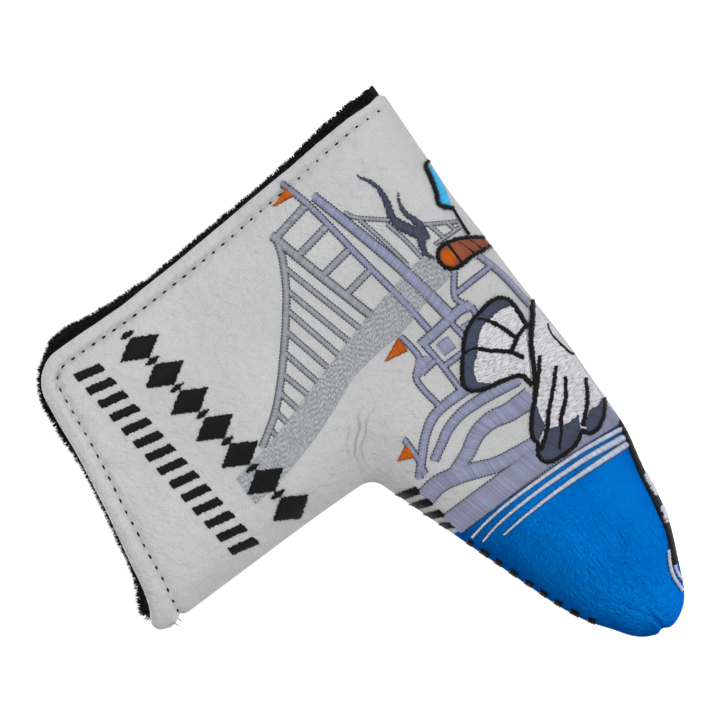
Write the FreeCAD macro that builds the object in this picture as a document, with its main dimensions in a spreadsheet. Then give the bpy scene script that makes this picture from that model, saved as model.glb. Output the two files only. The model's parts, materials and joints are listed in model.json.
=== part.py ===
"""Blade putter head cover: a boot-shaped, plush-lined leather cover with a slit up the heel.

Frame: +Z runs from the sole fold up the neck, +X from the toe to the heel, and -Y out of the
embroidered front face. The origin is the middle of the sole's flat, on the mid-plane.
"""
import FreeCAD, Part
import math
import os
import Sketcher
from FreeCAD import Rotation, Vector

DIMS = [
    # outline of the leather, seen from the front
    ("heel_x", 58.5, "slit edge of the leather"),
    ("sole_end_x", -50.0, "toe end of the sole's flat"),
    ("belly_r", 82.0, "arc from the sole to the toe"),
    ("nose_x", -92.5, "centre of the toe's nose"),
    ("nose_r", 12.0, "nose of the toe"),
    ("brow_r", 110.0, "arc from the nose to the top line"),
    ("crotch_x", -21.5, "inner edge of the neck"),
    ("crotch_z", 65.5, "height of the crotch"),
    ("slope", 18.6, "fall of the toe's top line, degrees"),
    ("mouth_heel_z", 123.0, "mouth of the neck at the slit edge"),
    ("mouth_neck_z", 137.5, "mouth of the neck at its inner edge"),
    ("mouth_round", 7.5, "rounded corners of the mouth"),
    ("crotch_round", 6.0, "rounded crotch"),
    # thickness, half of it measured from the mid-plane
    ("half", 20.0, "at the blade"),
    ("slit_half", 9.0, "at the slit edge"),
    ("wedge_x", 20.0, "where the wedge towards the slit starts"),
    ("neck_half", 14.5, "at the neck's mouth"),
    ("neck_low_z", 60.0, "where the neck starts to thin"),
    ("toe_half", 12.0, "at the end of the toe"),
    ("toe_taper_x", -65.0, "where the toe starts to thin"),
    ("toe_end_x", -110.0, "where the toe's thickness is measured"),
    ("edge_round", 10.5, "rounding round the edges of the panels"),
    # the layers of the wall, from outside in
    ("leather", 1.2, "outer leather"),
    ("foam", 2.3, "foam padding"),
    ("plush", 3.0, "plush lining"),
    ("plush_proud", 3.5, "how far the back lining stands out of the slit and mouth"),
    ("plush_short", 0.6, "how far the front lining stops short of them"),
    ("thread_rise", 0.5, "height of the embroidery and stitches"),
    # folds of the two heel flaps
    ("fold_low_z", 14.0, "fold's height on the slit edge"),
    ("fold_high_x", 8.0, "fold's place at the mouth"),
    ("fold_high_z", 132.0, "fold's height at the mouth"),
    ("fold_gap", 0.3, "clearance along the fold, measured level"),
    # toe cap and fittings
    ("cap_low_x", -50.6, "toe cap's edge at the sole"),
    ("cap_high_x", -48.2, "toe cap's edge at the top line"),
    ("cap_high_z", 56.0, "height where the cap's upper edge is measured"),
    ("magnet_r", 6.0, "hidden closing magnets"),
    ("magnet_thick", 1.5, "thickness of a magnet"),
    ("magnet_inset", 11.5, "from the slit edge to a magnet's axis"),
    ("magnet_low_z", 70.0, "height of the lower magnets"),
    ("magnet_pitch", 32.0, "from the lower to the upper magnet"),
    ("magnet_slack", 0.1, "room round a magnet in its pocket"),
    ("hem_inset", 5.3, "edge of the leather to the hem stitches"),
    ("hem_low_inset", 2.6, "the same, at the foot of the slit"),
    ("hem_low_z", 3.5, "where the hem stitches start above the sole"),
    ("hem_bend_z", 62.0, "height from which the stitches run straight up the slit"),
    ("stitch_pitch", 3.5, "from one stitch to the next"),
    ("stitch_len", 2.5, "length of a stitch"),
    ("stitch_width", 0.6, "width of a stitch"),
]
FAR = 200.0         # larger than the cover

doc = FreeCAD.newDocument("PutterHeadCover")
sheet = doc.addObject("Spreadsheet::Sheet", "Dims")
for row, (alias, value, note) in enumerate(DIMS, start=1):
    sheet.set(f"A{row}", alias)
    sheet.set(f"B{row}", str(value))
    sheet.set(f"C{row}", note)
    sheet.setAlias(f"B{row}", alias)
doc.recompute()
dim = {alias: float(sheet.get(alias)) for alias, _, _ in DIMS}

# ---------------------------------------------------------------- the layered body


def origin_plane(body, role):
    return [(f, "") for f in body.Origin.OriginFeatures if f.Role == role]


def new_sketch(body, name, role):
    sketch = body.newObject("Sketcher::SketchObject", name)
    sketch.AttachmentSupport = origin_plane(body, role)
    sketch.MapMode = "FlatFace"
    return sketch


def sheet_value(text):
    """The number that an expression of the spreadsheet's cells comes to."""
    return float(sheet.evalExpression(text.replace("Dims.", "")))


def bind(sketch, kind, text, *where):
    """A constraint of the sketch, bound to an expression of the spreadsheet's cells."""
    number = sketch.addConstraint(Sketcher.Constraint(kind, *where, sheet_value(text)))
    sketch.setExpression(f"Constraints[{number}]", text)


def polygon_pad(name, role, corners):
    """A body padded far both ways from a closed outline, each of its corners two expressions."""
    body = doc.addObject("PartDesign::Body", name)
    sketch = new_sketch(body, name + "_outline", role)
    spots = [Vector(sheet_value(x), sheet_value(y), 0) for x, y in corners]
    count = len(spots)
    for n in range(count):
        sketch.addGeometry(Part.LineSegment(spots[n], spots[(n + 1) % count]), False)
    for n in range(count):
        sketch.addConstraint(Sketcher.Constraint("Coincident", n, 2, (n + 1) % count, 1))
    for n, (x, y) in enumerate(corners):
        bind(sketch, "DistanceX", x, -1, 1, n, 1)
        bind(sketch, "DistanceY", y, -1, 1, n, 1)
    pad = body.newObject("PartDesign::Pad", name + "_pad")
    pad.Profile = sketch
    pad.SideType = "Symmetric"
    pad.Length = 2 * FAR
    return body


def outline_points(inset, past_heel, past_mouth):
    """Key points of the boot's outline, moved inwards by inset."""
    slope = math.radians(dim["slope"])
    belly = Vector(dim["sole_end_x"], dim["belly_r"], 0)
    reach = dim["belly_r"] - dim["nose_r"]
    nose_drop = math.sqrt(reach ** 2 - (dim["nose_x"] - dim["sole_end_x"]) ** 2)
    nose = Vector(dim["nose_x"], dim["belly_r"] - nose_drop, 0)
    along = Vector(-math.cos(slope), -math.sin(slope), 0)
    inward = Vector(math.sin(slope), -math.cos(slope), 0)
    crotch = Vector(dim["crotch_x"], dim["crotch_z"], 0)
    nose_along, nose_in = (nose - crotch).dot(along), (nose - crotch).dot(inward)
    shift = math.sqrt((dim["brow_r"] - dim["nose_r"]) ** 2 - (dim["brow_r"] - nose_in) ** 2)
    brow = crotch + along * (nose_along - shift) + inward * dim["brow_r"]
    down = (nose - belly).normalize()
    up = (nose - brow).normalize()
    mouth_fall = (dim["mouth_neck_z"] - dim["mouth_heel_z"]) / (dim["heel_x"] - dim["crotch_x"])
    heel_x = dim["heel_x"] + past_heel
    neck_x = dim["crotch_x"] + inset
    return {
        "heel": Vector(heel_x, inset, 0),
        "sole_end": Vector(dim["sole_end_x"], inset, 0),
        "belly_nose": nose + down * (dim["nose_r"] - inset),
        "nose_brow": nose + up * (dim["nose_r"] - inset),
        "brow_top": brow - inward * (dim["brow_r"] - inset),
        "crotch": Vector(neck_x, dim["crotch_z"] + inset * math.tan(slope) - inset / math.cos(slope), 0),
        "mouth_neck": Vector(neck_x, dim["mouth_neck_z"] + past_mouth - inset * mouth_fall, 0),
        "mouth_heel": Vector(heel_x, dim["mouth_heel_z"] + past_mouth - past_heel * mouth_fall, 0),
        "belly": belly, "nose": nose, "brow": brow,
    }


def arc(centre, start, end):
    """The arc that runs anticlockwise round a centre from start to end."""
    first = math.atan2(start.y - centre.y, start.x - centre.x)
    last = math.atan2(end.y - centre.y, end.x - centre.x)
    if last < first:
        last += 2 * math.pi
    return Part.ArcOfCircle(Part.Circle(centre, Vector(0, 0, 1), (start - centre).Length), first, last)


def boot_body(name, inset, past_heel, past_mouth, rounded_mouth):
    """The boot's outline padded to full thickness, with its crotch, mouth and panel edges rounded.

    inset, past_heel and past_mouth are expressions of the spreadsheet's cells."""
    p = outline_points(sheet_value(inset), sheet_value(past_heel), sheet_value(past_mouth))
    body = doc.addObject("PartDesign::Body", name)
    sketch = new_sketch(body, name + "_outline", "XZ_Plane")
    sketch.addGeometry([
        Part.LineSegment(p["heel"], p["mouth_heel"]),
        Part.LineSegment(p["mouth_heel"], p["mouth_neck"]),
        Part.LineSegment(p["mouth_neck"], p["crotch"]),
        Part.LineSegment(p["crotch"], p["brow_top"]),
        arc(p["brow"], p["brow_top"], p["nose_brow"]),
        arc(p["nose"], p["nose_brow"], p["belly_nose"]),
        arc(p["belly"], p["belly_nose"], p["sole_end"]),
        Part.LineSegment(p["sole_end"], p["heel"]),
    ], False)
    slit, mouth, neck, top, brow, nose, belly, sole = range(8)
    for n in range(8):
        kind = "Tangent" if n in (top, brow, nose, belly) else "Coincident"
        sketch.addConstraint(Sketcher.Constraint(kind, n, 2, (n + 1) % 8, 1))
    sketch.addConstraint(Sketcher.Constraint("Vertical", slit))
    sketch.addConstraint(Sketcher.Constraint("Vertical", neck))
    sketch.addConstraint(Sketcher.Constraint("Horizontal", sole))
    fall = "(Dims.mouth_neck_z - Dims.mouth_heel_z) / (Dims.heel_x - Dims.crotch_x)"
    turn = "(Dims.slope * 1 deg)"
    start, end, centre = 1, 2, 3
    for kind, text, edge, point in (
            ("DistanceX", f"Dims.heel_x + {past_heel}", slit, start),
            ("DistanceY", inset, slit, start),
            ("DistanceY", f"Dims.mouth_heel_z + {past_mouth} - ({past_heel}) * {fall}", slit, end),
            ("DistanceY", f"Dims.mouth_neck_z + {past_mouth} - ({inset}) * {fall}", mouth, end),
            ("DistanceX", f"Dims.crotch_x + {inset}", neck, end),
            ("DistanceY", f"Dims.crotch_z + ({inset}) * tan{turn} - ({inset}) / cos{turn}", neck, end),
            ("DistanceX", "Dims.nose_x", nose, centre),
            ("DistanceX", "Dims.sole_end_x", sole, start)):
        bind(sketch, kind, text, -1, 1, edge, point)
    for edge, alias in ((brow, "brow_r"), (nose, "nose_r"), (belly, "belly_r")):
        bind(sketch, "Radius", f"Dims.{alias} - {inset}", edge)
    number = sketch.addConstraint(Sketcher.Constraint("Angle", top, math.pi + math.radians(dim["slope"])))
    sketch.setExpression(f"Constraints[{number}]", "180 deg + Dims.slope * 1 deg")

    pad = body.newObject("PartDesign::Pad", name + "_pad")
    pad.Profile = sketch
    pad.SideType = "Symmetric"
    pad.setExpression("Length", f"2 * (Dims.half - {inset})")
    doc.recompute()
    crotch_edges = upright_edges(pad.Shape, [p["crotch"]])
    last = rounding(body, pad, "crotch", crotch_edges, f"Dims.crotch_round + {inset}")
    if rounded_mouth:
        corners = upright_edges(last.Shape, [p["mouth_neck"], p["mouth_heel"]])
        last = rounding(body, last, "mouth", corners, "Dims.mouth_round")
    half, slit_x = dim["half"] - sheet_value(inset), dim["heel_x"] + sheet_value(past_heel)
    edges = panel_edges(last.Shape, half, slit_x, p)
    rounding(body, last, "edges", edges, f"Dims.edge_round - {inset}")
    return body


def rounding(body, base, name, edges, radius):
    """A fillet of some of the base's edges, its radius an expression."""
    fillet = body.newObject("PartDesign::Fillet", f"{body.Name}_{name}")
    fillet.Base = (base, edges)
    fillet.setExpression("Radius", radius)
    doc.recompute()
    return fillet


def upright_edges(shape, spots):
    """Names of the edges that run through the thickness at the given points of the outline."""
    found = []
    for n, e in enumerate(shape.Edges, start=1):
        a, b = e.Vertexes[0].Point, e.Vertexes[-1].Point
        if abs(a.x - b.x) + abs(a.z - b.z) > 0.01:
            continue
        if any(math.hypot(a.x - s.x, a.z - s.y) < 0.05 for s in spots):
            found.append(f"Edge{n}")
    return found


def panel_edges(shape, half, heel_x, p):
    """Names of the edges round the front and back panels, without the slit edge and the mouth."""
    found = []
    for n, e in enumerate(shape.Edges, start=1):
        points = [e.valueAt(e.FirstParameter + t * (e.LastParameter - e.FirstParameter)) for t in (0, 0.5, 1)]
        if any(abs(abs(q.y) - half) > 0.01 for q in points):
            continue
        middle = points[1]
        on_slit = abs(middle.x - heel_x) < 0.01
        over_mouth = middle.z > p["mouth_heel"].y - 2 * dim["mouth_round"] and middle.x > p["crotch"].x + 0.01
        if not on_slit and not over_mouth:
            found.append(f"Edge{n}")
    return found


def layer(name, inset, past_heel="0", past_mouth="0", rounded_mouth=False):
    """The cover's outer form moved inwards by inset: the boot, cut to its plan and its end view."""
    boot = boot_body(name + "_boot", inset, past_heel, past_mouth, rounded_mouth)
    half, slit = f"(Dims.half - {inset})", f"(Dims.slit_half - {inset})"
    toe, neck = f"(Dims.toe_half - {inset})", f"(Dims.neck_half - {inset})"
    side = [(f"{FAR}", slit), ("Dims.heel_x", slit), ("Dims.wedge_x", half),
            ("Dims.toe_taper_x", half), ("Dims.toe_end_x", toe)]
    plan = polygon_pad(name + "_plan", "XY_Plane", side + [(x, "-" + y) for x, y in reversed(side)])
    rise = [(half, "-20"), (half, "Dims.neck_low_z"), (neck, "Dims.mouth_neck_z"), (neck, f"{FAR}")]
    end = polygon_pad(name + "_end", "YZ_Plane", rise + [("-" + y, z) for y, z in reversed(rise)])
    whole = doc.addObject("Part::MultiCommon", name)
    whole.Shapes = [boot, plan, end]
    doc.recompute()
    return whole


# ---------------------------------------------------------------- booleans and cutters


def combine(kind, name, pieces):
    """A Part::MultiFuse, Part::MultiCommon or Part::Compound of the pieces."""
    made = doc.addObject("Part::" + kind, name)
    if kind == "Compound":
        made.Links = pieces
    else:
        made.Shapes = pieces
    return made


def cut(name, base, tools):
    made = doc.addObject("Part::Cut", name)
    made.Base = base
    made.Tool = tools[0] if len(tools) == 1 else combine("MultiFuse", name + "_tools", tools)
    return made


def half_space(name, side):
    """Everything on the front (-1) or back (+1) of the mid-plane."""
    box = doc.addObject("Part::Box", name)
    box.Length = box.Height = 2 * FAR
    box.Width = FAR
    box.Placement.Base = Vector(-FAR, -FAR if side < 0 else 0, -FAR)
    return box


def fold_zone(name, shift):
    """Everything on the slit's side of the fold line, moved level by shift."""
    run, rise = "(Dims.heel_x - Dims.fold_high_x)", "(Dims.fold_high_z - Dims.fold_low_z)"
    low = (f"Dims.heel_x + {run} * 0.5 + {shift}", f"Dims.fold_low_z - {rise} * 0.5")
    high = (f"Dims.fold_high_x - {run} * 0.5 + {shift}", f"Dims.fold_high_z + {rise} * 0.5")
    return polygon_pad(name, "XZ_Plane", [low, (f"{FAR}", low[1]), (f"{FAR}", high[1]), high])


def prism(name, side, points):
    """The outline of points (x, z) pushed out from the mid-plane to the front or the back."""
    outline = doc.addObject("Part::Polygon", name + "_outline")
    outline.Nodes = [Vector(x, 0, max(z, 0.0)) for x, z in points]
    outline.Close = True
    solid = doc.addObject("Part::Extrusion", name)
    solid.Base = outline
    solid.DirMode = "Custom"
    solid.Dir = Vector(0, side, 0)
    solid.LengthFwd = 2 * dim["half"]
    solid.Solid = True
    return solid


# ---------------------------------------------------------------- artwork, as outlines of (x, z)


def curve(points, steps=3):
    """A smooth line through the points (Catmull-Rom)."""
    ends = [points[0]] + list(points) + [points[-1]]
    line = []
    for a, b, c, d in zip(ends, ends[1:], ends[2:], ends[3:]):
        for n in range(steps):
            t = n / steps
            line.append(tuple(0.5 * (2 * q + (r - p) * t + (2 * p - 5 * q + 4 * r - s) * t ** 2
                                     + (3 * q - p - 3 * r + s) * t ** 3)
                              for p, q, r, s in zip(a, b, c, d)))
    return line + [points[-1]]


def strip(line, width, end_width=None):
    """The outline of a line with a width, which may run out to another width."""
    end_width = width if end_width is None else end_width
    left, right = [], []
    for n, (x, z) in enumerate(line):
        ax, az = line[max(n - 1, 0)]
        bx, bz = line[min(n + 1, len(line) - 1)]
        span = math.hypot(bx - ax, bz - az)
        w = 0.5 * (width + (end_width - width) * n / (len(line) - 1)) / span
        left.append((x - (bz - az) * w, z + (bx - ax) * w))
        right.append((x + (bz - az) * w, z - (bx - ax) * w))
    return left + right[::-1]


def row_of(cell, low, high, heights, count):
    """The cell's outline (0..1 across and up) repeated along the line from low to high.

    heights are the row's height at its start and at its end."""
    shapes = []
    for n in range(count):
        outline = []
        for u, v in cell:
            t = (n + u) / count
            height = heights[0] + (heights[1] - heights[0]) * t
            outline.append((low[0] + (high[0] - low[0]) * t, low[1] + (high[1] - low[1]) * t + height * v))
        shapes.append(outline)
    return shapes


# cells of the patterned rows, and where each row runs: start, end, heights, number of cells
DIAMOND = [(0.03, 0.5), (0.36, 0.0), (0.69, 0.5), (0.36, 1.0)]
STUD = [(0.74, 0.5), (0.86, 0.28), (0.98, 0.5), (0.86, 0.72)]
TWIST = [(0.05, 0.0), (0.6, 0.0), (0.95, 1.0), (0.4, 1.0)]
LARGE_ROW = ((-19, 82.5), (50.5, 89.5), (12.0, 12.0), 7)
SMALL_ROW = ((-18.5, 100.6), (50, 106.4), (7.6, 7.6), 14)
TOE_ROW = ((-47.5, 54.2), (-29.5, 57.0), (2.4, 5.8), 4)

# the suspension bridge
BRIDGE_ROAD = curve([(-9, 95), (-7.4, 84), (-3.8, 70.2), (0.2, 60), (3.2, 52.6), (4.6, 44), (5.6, 33), (8.2, 24),
                     (9.8, 13.6)], 2) \
    + curve([(18, 15), (18.8, 20.4), (16.4, 31), (14.4, 38), (11.8, 46.6), (8.6, 56.6), (5.6, 66.4), (3, 74.4),
             (0.6, 84), (-1.4, 95)], 2)
CABLE = curve([(3.1, 84), (5.8, 79.6), (9, 75.2), (13.8, 70.2), (20, 64.6), (27.5, 58.4), (35, 52.8),
               (42.5, 48.5), (46.2, 47.1)])
HANGERS = [((3.1, 79), (6.3, 79.6)), ((4.4, 74.6), (9, 75.3)), ((5.6, 70), (12.2, 71.2)),
           ((7.5, 65.5), (16, 67.5)), ((8.5, 61.2), (20.4, 63.5)), ((10.3, 56.6), (25.2, 59.7)),
           ((11.2, 52.1), (30, 56)), ((12.5, 47.6), (34.6, 52.8)), ((13.7, 43.1), (39.6, 49.5))]
CHORD = [(14.4, 38.4), (31, 42.7), (48.8, 47.1)]
STRUTS = [((23.6, 40.2), (25, 31.5)), ((31.9, 42), (33.2, 32.6)), ((40.4, 44), (41.9, 33.8)),
          ((47.8, 46), (49.4, 35.2))]
PIER = [[(20, 22.1), (29, 23.4), (38, 25.2)], [(19, 17.8), (25.6, 18.4), (32.5, 19.8)],
        [(32.8, 18.4), (39, 25.6), (42, 27.2)], [(20, 9.6), (25.6, 10.6)], [(19.8, 5.9), (23, 6.2)],
        [(19.8, 12.6), (19.5, 4)], [(26.2, 11.6), (21.2, 3.8)]]
# the harbour front, and the waves beside it
UPPER_RAIL = [(1.4, 28.1), (10, 28.8), (20, 30), (30, 31.4), (40, 32.6), (50, 34), (56.6, 35.2)]
LOWER_RAIL = [(1.6, 21.3), (10, 22.4), (20, 24), (30, 26.2), (40, 28.7), (50, 31.4)]
HOUSE = [[(-17.5, 38.3), (-8, 39), (-3.6, 34.8), (4.6, 35.4)], [(-17.4, 31), (-9, 31), (-0.8, 31.6)],
         [(-9.6, 31), (-9.6, 21)], [(-7.4, 36.8), (-6.8, 32)], [(-9.4, 21.2), (-1, 22)],
         [(-5.4, 15.6), (-0.8, 14.8)], [(1.6, 16.2), (4.6, 16.9), (10.4, 12.8)], [(5, 16), (5.3, 4.6)]]
COLUMN = [(-0.8, 32.2), (-0.4, 27), (0.2, 22), (0.6, 18), (-0.2, 14.8)]
QUAY = [[(-10, 2), (1, 2.9), (9.8, 5)], [(-30, 52.6), (-26, 51.7), (-19, 51.5)]]
WINDOWS = [[(-7.5, 25), (-3.2, 25), (-3.2, 29), (-7.5, 29)], [(-6.6, 17.4), (-3, 17.6), (-3, 20.6), (-7, 20.4)]]
WAVES = [(curve([(-35.3, 56), (-34.6, 51), (-36, 45), (-38, 40), (-40, 34.4), (-41.2, 25)]), 5.4, 3.4),
         (curve([(-34.6, 46), (-32.6, 40), (-29.8, 34.6), (-29.2, 29), (-30.3, 24), (-30.4, 18.4)]), 3.4, 5.8),
         (curve([(-30, 54.6), (-26.2, 50.8), (-22.4, 47), (-19.4, 42.6), (-18.2, 37.6), (-18.2, 30.4)]), 2.2, 2.8),
         (curve([(-28.6, 48.4), (-26.6, 44.8), (-24, 40), (-22.8, 35), (-22.8, 30), (-23.3, 24.4),
                 (-23.9, 19)]), 2.4, 3.4)]
# the band along the toe cap's edge, and the toe cap's stripes
BAND = curve([(-48.4, 54.6), (-48.2, 40), (-48.3, 25), (-49.3, 12), (-50.2, 1)], 2) \
    + curve([(-45, 1), (-43.6, 12), (-42.2, 25), (-42.2, 40), (-42.8, 55.4)], 2)
STRIPES = [(curve([(-56.5, 45.2), (-55.8, 37), (-55.6, 25), (-56.2, 12), (-57, 3.6)]), 0.6, 1.6),
           (curve([(-54.6, 50.8), (-53.1, 44), (-52.5, 31.6), (-53.1, 15.4), (-54.9, 2.2)]), 0.6, 1.8),
           (curve([(-51.9, 52.6), (-50.6, 45.2), (-50.1, 34), (-50.7, 15.4), (-52.6, 1.6)]), 0.9, 1.6)]
RIPPLES = [(curve([(-97.5, 15.2), (-93.5, 14.6), (-90, 12.6), (-87.5, 10.6)]), 0.7, 0.9),
           (curve([(-96, 13.4), (-93, 13), (-90.6, 11.6)]), 0.6, 0.6)]
# small pennants
PENNANTS = [[(-25, 51.8), (-20.3, 51.8), (-22.8, 56.8)], [(0, 36.2), (4.8, 36.2), (1.5, 43.4)]]
FLAP_PENNANT = [(53.2, 35.8), (56.2, 36.2), (54.4, 42.6)]
PENNANT_SPAN = (32.5, 44.2)     # heights between which the flap's pennant hides the hem stitches
# the two wings and their feathers
WING_FAN = curve([(-28, 14.6), (-24.4, 15.3), (-23.1, 17.8), (-21.9, 22.4), (-20.3, 27.4), (-18.4, 29.2),
                  (-16.2, 29.2), (-13.1, 27.1), (-9.7, 24.3), (-6.2, 20.9), (-4.4, 17.7), (-3.4, 14),
                  (-2.9, 9.9), (-3.9, 7.1), (-6.6, 5.7), (-10.6, 5.9), (-13.4, 6.2)], 2)
WING_LONG = curve([(-9.6, 0.8), (-13.8, 4), (-16.9, 6.8), (-20, 9), (-26.2, 12.4), (-29.4, 14.3), (-32.5, 17.1),
                   (-35, 19.6), (-37.8, 21.8), (-40.3, 23), (-42.2, 22.8), (-43.8, 24.2), (-45.9, 24.7),
                   (-48, 23), (-48.5, 18.7), (-48.5, 15.6), (-47.6, 13), (-46.2, 11), (-47.8, 10.2),
                   (-48.6, 8.4), (-47.9, 5.8), (-46.2, 3.4), (-43.1, 1)], 2)
FAN_TIP = curve([(-21.9, 22.4), (-20.3, 27.4), (-18.4, 29.2), (-16.2, 29.2), (-13.1, 27.1), (-9.7, 24.3),
                 (-6.2, 20.9), (-4.4, 17.7), (-3.4, 14), (-2.9, 9.9), (-3.9, 7.1), (-6.6, 5.7)], 2) \
    + curve([(-7.4, 6.4), (-6.6, 9), (-6.9, 12.8), (-7.5, 15.9), (-9.7, 18.8), (-12.5, 21.4), (-15.3, 24.6),
             (-18.6, 25.8)], 2)
LONG_TIPS = [[(-48.5, 18.7), (-48, 23), (-45.9, 24.7), (-43.8, 24.2), (-40.7, 18.8), (-40.7, 17), (-42.3, 13),
              (-42.2, 9.2), (-46.2, 11), (-47.6, 13), (-48.5, 15.6)],
             [(-42, 22.6), (-40.3, 23), (-37.8, 21.8), (-33.8, 18.6), (-31.9, 16.3), (-34.4, 17.1),
              (-37.5, 17.8), (-39.7, 18.2)],
             [(-47.8, 10.2), (-45.2, 9.6), (-42.8, 6.2), (-43.4, 4), (-42.4, 1), (-46.2, 3.4), (-47.9, 5.8),
              (-48.6, 8.4)]]
FEATHERS = [[(-46.6, 19), (-43.4, 15.9), (-40, 13.4), (-36.6, 9.6), (-31.9, 6.3)],
            [(-44, 23.2), (-40.6, 18.7), (-36.6, 15.2), (-32.5, 10.9), (-28, 6.7)],
            [(-30.6, 15.2), (-26.2, 11.1), (-23, 8.6)], [(-45.4, 10), (-42.5, 6.8), (-39.4, 4.3), (-35.6, 2)],
            [(-20.6, 12.1), (-16.9, 14.3), (-13.4, 18.4), (-10.6, 20.9), (-10.1, 23.8)],
            [(-14.7, 10.6), (-10.6, 11.8), (-6.9, 13.4), (-4.6, 15.4)],
            [(-17.4, 13.6), (-15.6, 10.9), (-14.4, 7.8), (-14.2, 4.8)]]
SHORT_LINES = [[(-28.2, 0.9), (-27.2, 1.6), (-20.6, 2.6), (-17.3, 1.7)], [(16.4, 3.7), (20, 3.4), (24.4, 2.7)],
               [(11.4, 5.8), (16.2, 7.2)], [(11.2, 3.6), (15.2, 4.7)]]
# the bollard, its wisps of smoke and the flag at its foot
BOLLARD = curve([(10, 1), (10.8, 6.5), (10.8, 11.4), (12.2, 13.6), (15, 14.4), (17.7, 13), (18.1, 10.2),
                 (16.9, 6.5), (14.4, 2.8), (13.2, 1)], 2)
BOLLARD_TOP = curve([(12.2, 11.7), (13, 12.8), (14.6, 13.1), (16.2, 12.7), (16.9, 11.7), (15.8, 10.9),
                     (13.2, 10.8), (12.2, 11.7)], 2)
WISPS = [(curve([(16.9, 15.2), (19.4, 16.3), (21.9, 15.6), (24, 14.4), (26.2, 14.6)]), 0.8, 2.2),
         (curve([(25.4, 14.4), (28.8, 16.4), (31.9, 17.6), (35, 17.1), (38.1, 16.2), (41.2, 15.9), (44.4, 16.8),
                 (47.2, 18.5)]), 2.6, 0.6),
         (curve([(22.5, 14), (25.6, 12.8), (28.8, 13.1), (31.9, 14), (35, 13.8), (37.3, 12.4)]), 2.4, 0.6)]
BLUE_FLAG = [(24.6, 2.4), (27.3, 4.4), (34.6, 2.2), (36.8, 1.6), (36.8, 0.8), (30.3, 0.8)]
FLAG_EDGE = curve([(24.2, 2.5), (27.2, 4.9), (30.3, 3.8), (34.4, 2.6), (37.4, 2.2), (38, 0.8)])
# the line and the patches along the toe's sole, and the edge that the toe's blocks follow
SOLE_LINE = curve([(-89.6, 11.6), (-84, 9.2), (-78, 7.7), (-70, 5.8), (-62, 3.9), (-54, 2.1), (-50.6, 1.4)])
SOLE_PATCHES = [[(-81.6, 7.7), (-76, 6)], [(-73.2, 5.1), (-66, 3.5)]]
TOP_EDGE = curve([(-52, 54.9), (-60, 52.2), (-72, 47.8), (-82, 43.4), (-92, 37.8)], 12)


def bridge_shapes():
    yield BRIDGE_ROAD
    yield strip(CABLE, 1.7)
    for line in HANGERS + STRUTS:
        yield strip(line, 1.3)
    yield strip(CHORD, 2.2)
    for line in PIER:
        yield strip(line, 0.9)


def harbour_shapes():
    yield strip(UPPER_RAIL, 1.8)
    yield strip(LOWER_RAIL, 3.6, 1.9)
    yield strip(COLUMN, 3.0)
    for line in HOUSE + QUAY:
        yield strip(line, 1.7)
    yield from WINDOWS


def gull_outline_shapes():
    for line in (WING_FAN, WING_LONG):
        yield strip(line, 1.4)
    for line in FEATHERS:
        yield strip(line, 1.2, 0.9)
    for line in SHORT_LINES:
        yield strip(line, 0.7)
    yield strip(BOLLARD, 1.3)
    yield strip([(11, 9.9), (17.8, 9.9)], 1.0)
    yield strip(FLAG_EDGE, 1.1)


def edge_blocks(line, count, deep):
    """Small blocks that sit over the edge along a line: each is a share of the line, deep millimetres in."""
    blocks = []
    for n in range(count):
        ax, az = line[int((n + 0.1) / count * (len(line) - 1))]
        bx, bz = line[int((n + 0.6) / count * (len(line) - 1))]
        span = math.hypot(bx - ax, bz - az)
        inx, inz = -(bz - az) / span * deep, (bx - ax) / span * deep
        blocks.append([(ax - inx, az - inz), (bx - inx, bz - inz), (bx + inx, bz + inz), (ax + inx, az + inz)])
    return blocks


# each design: its name and its outlines; an earlier design lies over the later ones
FRONT_ART = [
    ("gull_outline", gull_outline_shapes),
    ("gull_slate_tips", lambda: [FAN_TIP] + LONG_TIPS),
    ("gull_white_wings", lambda: [WING_FAN, WING_LONG]),
    ("bollard_top", lambda: [BOLLARD_TOP]),
    ("bollard", lambda: [BOLLARD]),
    ("blue_flag", lambda: [BLUE_FLAG]),
    ("wisps", lambda: [strip(*w) for w in WISPS]),
    ("pennants", lambda: PENNANTS + [FLAP_PENNANT]),
    ("large_pattern", lambda: row_of(DIAMOND, *LARGE_ROW) + row_of(STUD, *LARGE_ROW)),
    ("small_pattern", lambda: row_of(TWIST, *SMALL_ROW)),
    ("toe_pattern", lambda: row_of(TWIST, *TOE_ROW) + edge_blocks(TOP_EDGE, 9, 1.4)),
    ("sole_line", lambda: [strip(SOLE_LINE, 1.3)]),
    ("sole_patches", lambda: [strip(line, 1.9) for line in SOLE_PATCHES]),
    ("toe_stripes", lambda: [strip(*w) for w in STRIPES + RIPPLES]),
    ("border_band", lambda: [BAND]),
    ("harbour", harbour_shapes),
    ("waves", lambda: [strip(*w) for w in WAVES]),
    ("bridge", bridge_shapes),
]
BACK_ART = [
    ("back_pattern", lambda: row_of(TWIST, *SMALL_ROW)),
    ("back_stripes", lambda: [strip(*w) for w in STRIPES]),
    ("back_band", lambda: [BAND]),
    ("back_waves", lambda: [strip(*w) for w in WAVES]),
]


def art_nodes(side, designs, shell, flap_zone, cover_zone, flap_names):
    """Embroidery on one side: every design cut by those over it, then split at the flap's fold."""
    above = []
    for name, shapes in designs:
        pieces = [prism(f"{name}_{n}", side, outline) for n, outline in enumerate(shapes())]
        whole = combine("MultiFuse", name + "_whole", pieces) if len(pieces) > 1 else pieces[0]
        seen = cut(name + "_seen", whole, list(above)) if above else whole
        above.append(whole)
        if name in flap_names:
            keep("flap_" + name, combine("MultiCommon", "flap_" + name, [shell, seen, flap_zone]))
            rest = cut(name + "_rest", seen, [cover_zone])
            keep(name, combine("MultiCommon", name, [shell, rest]))
        else:
            keep(name, combine("MultiCommon", name, [shell, seen]))


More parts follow.
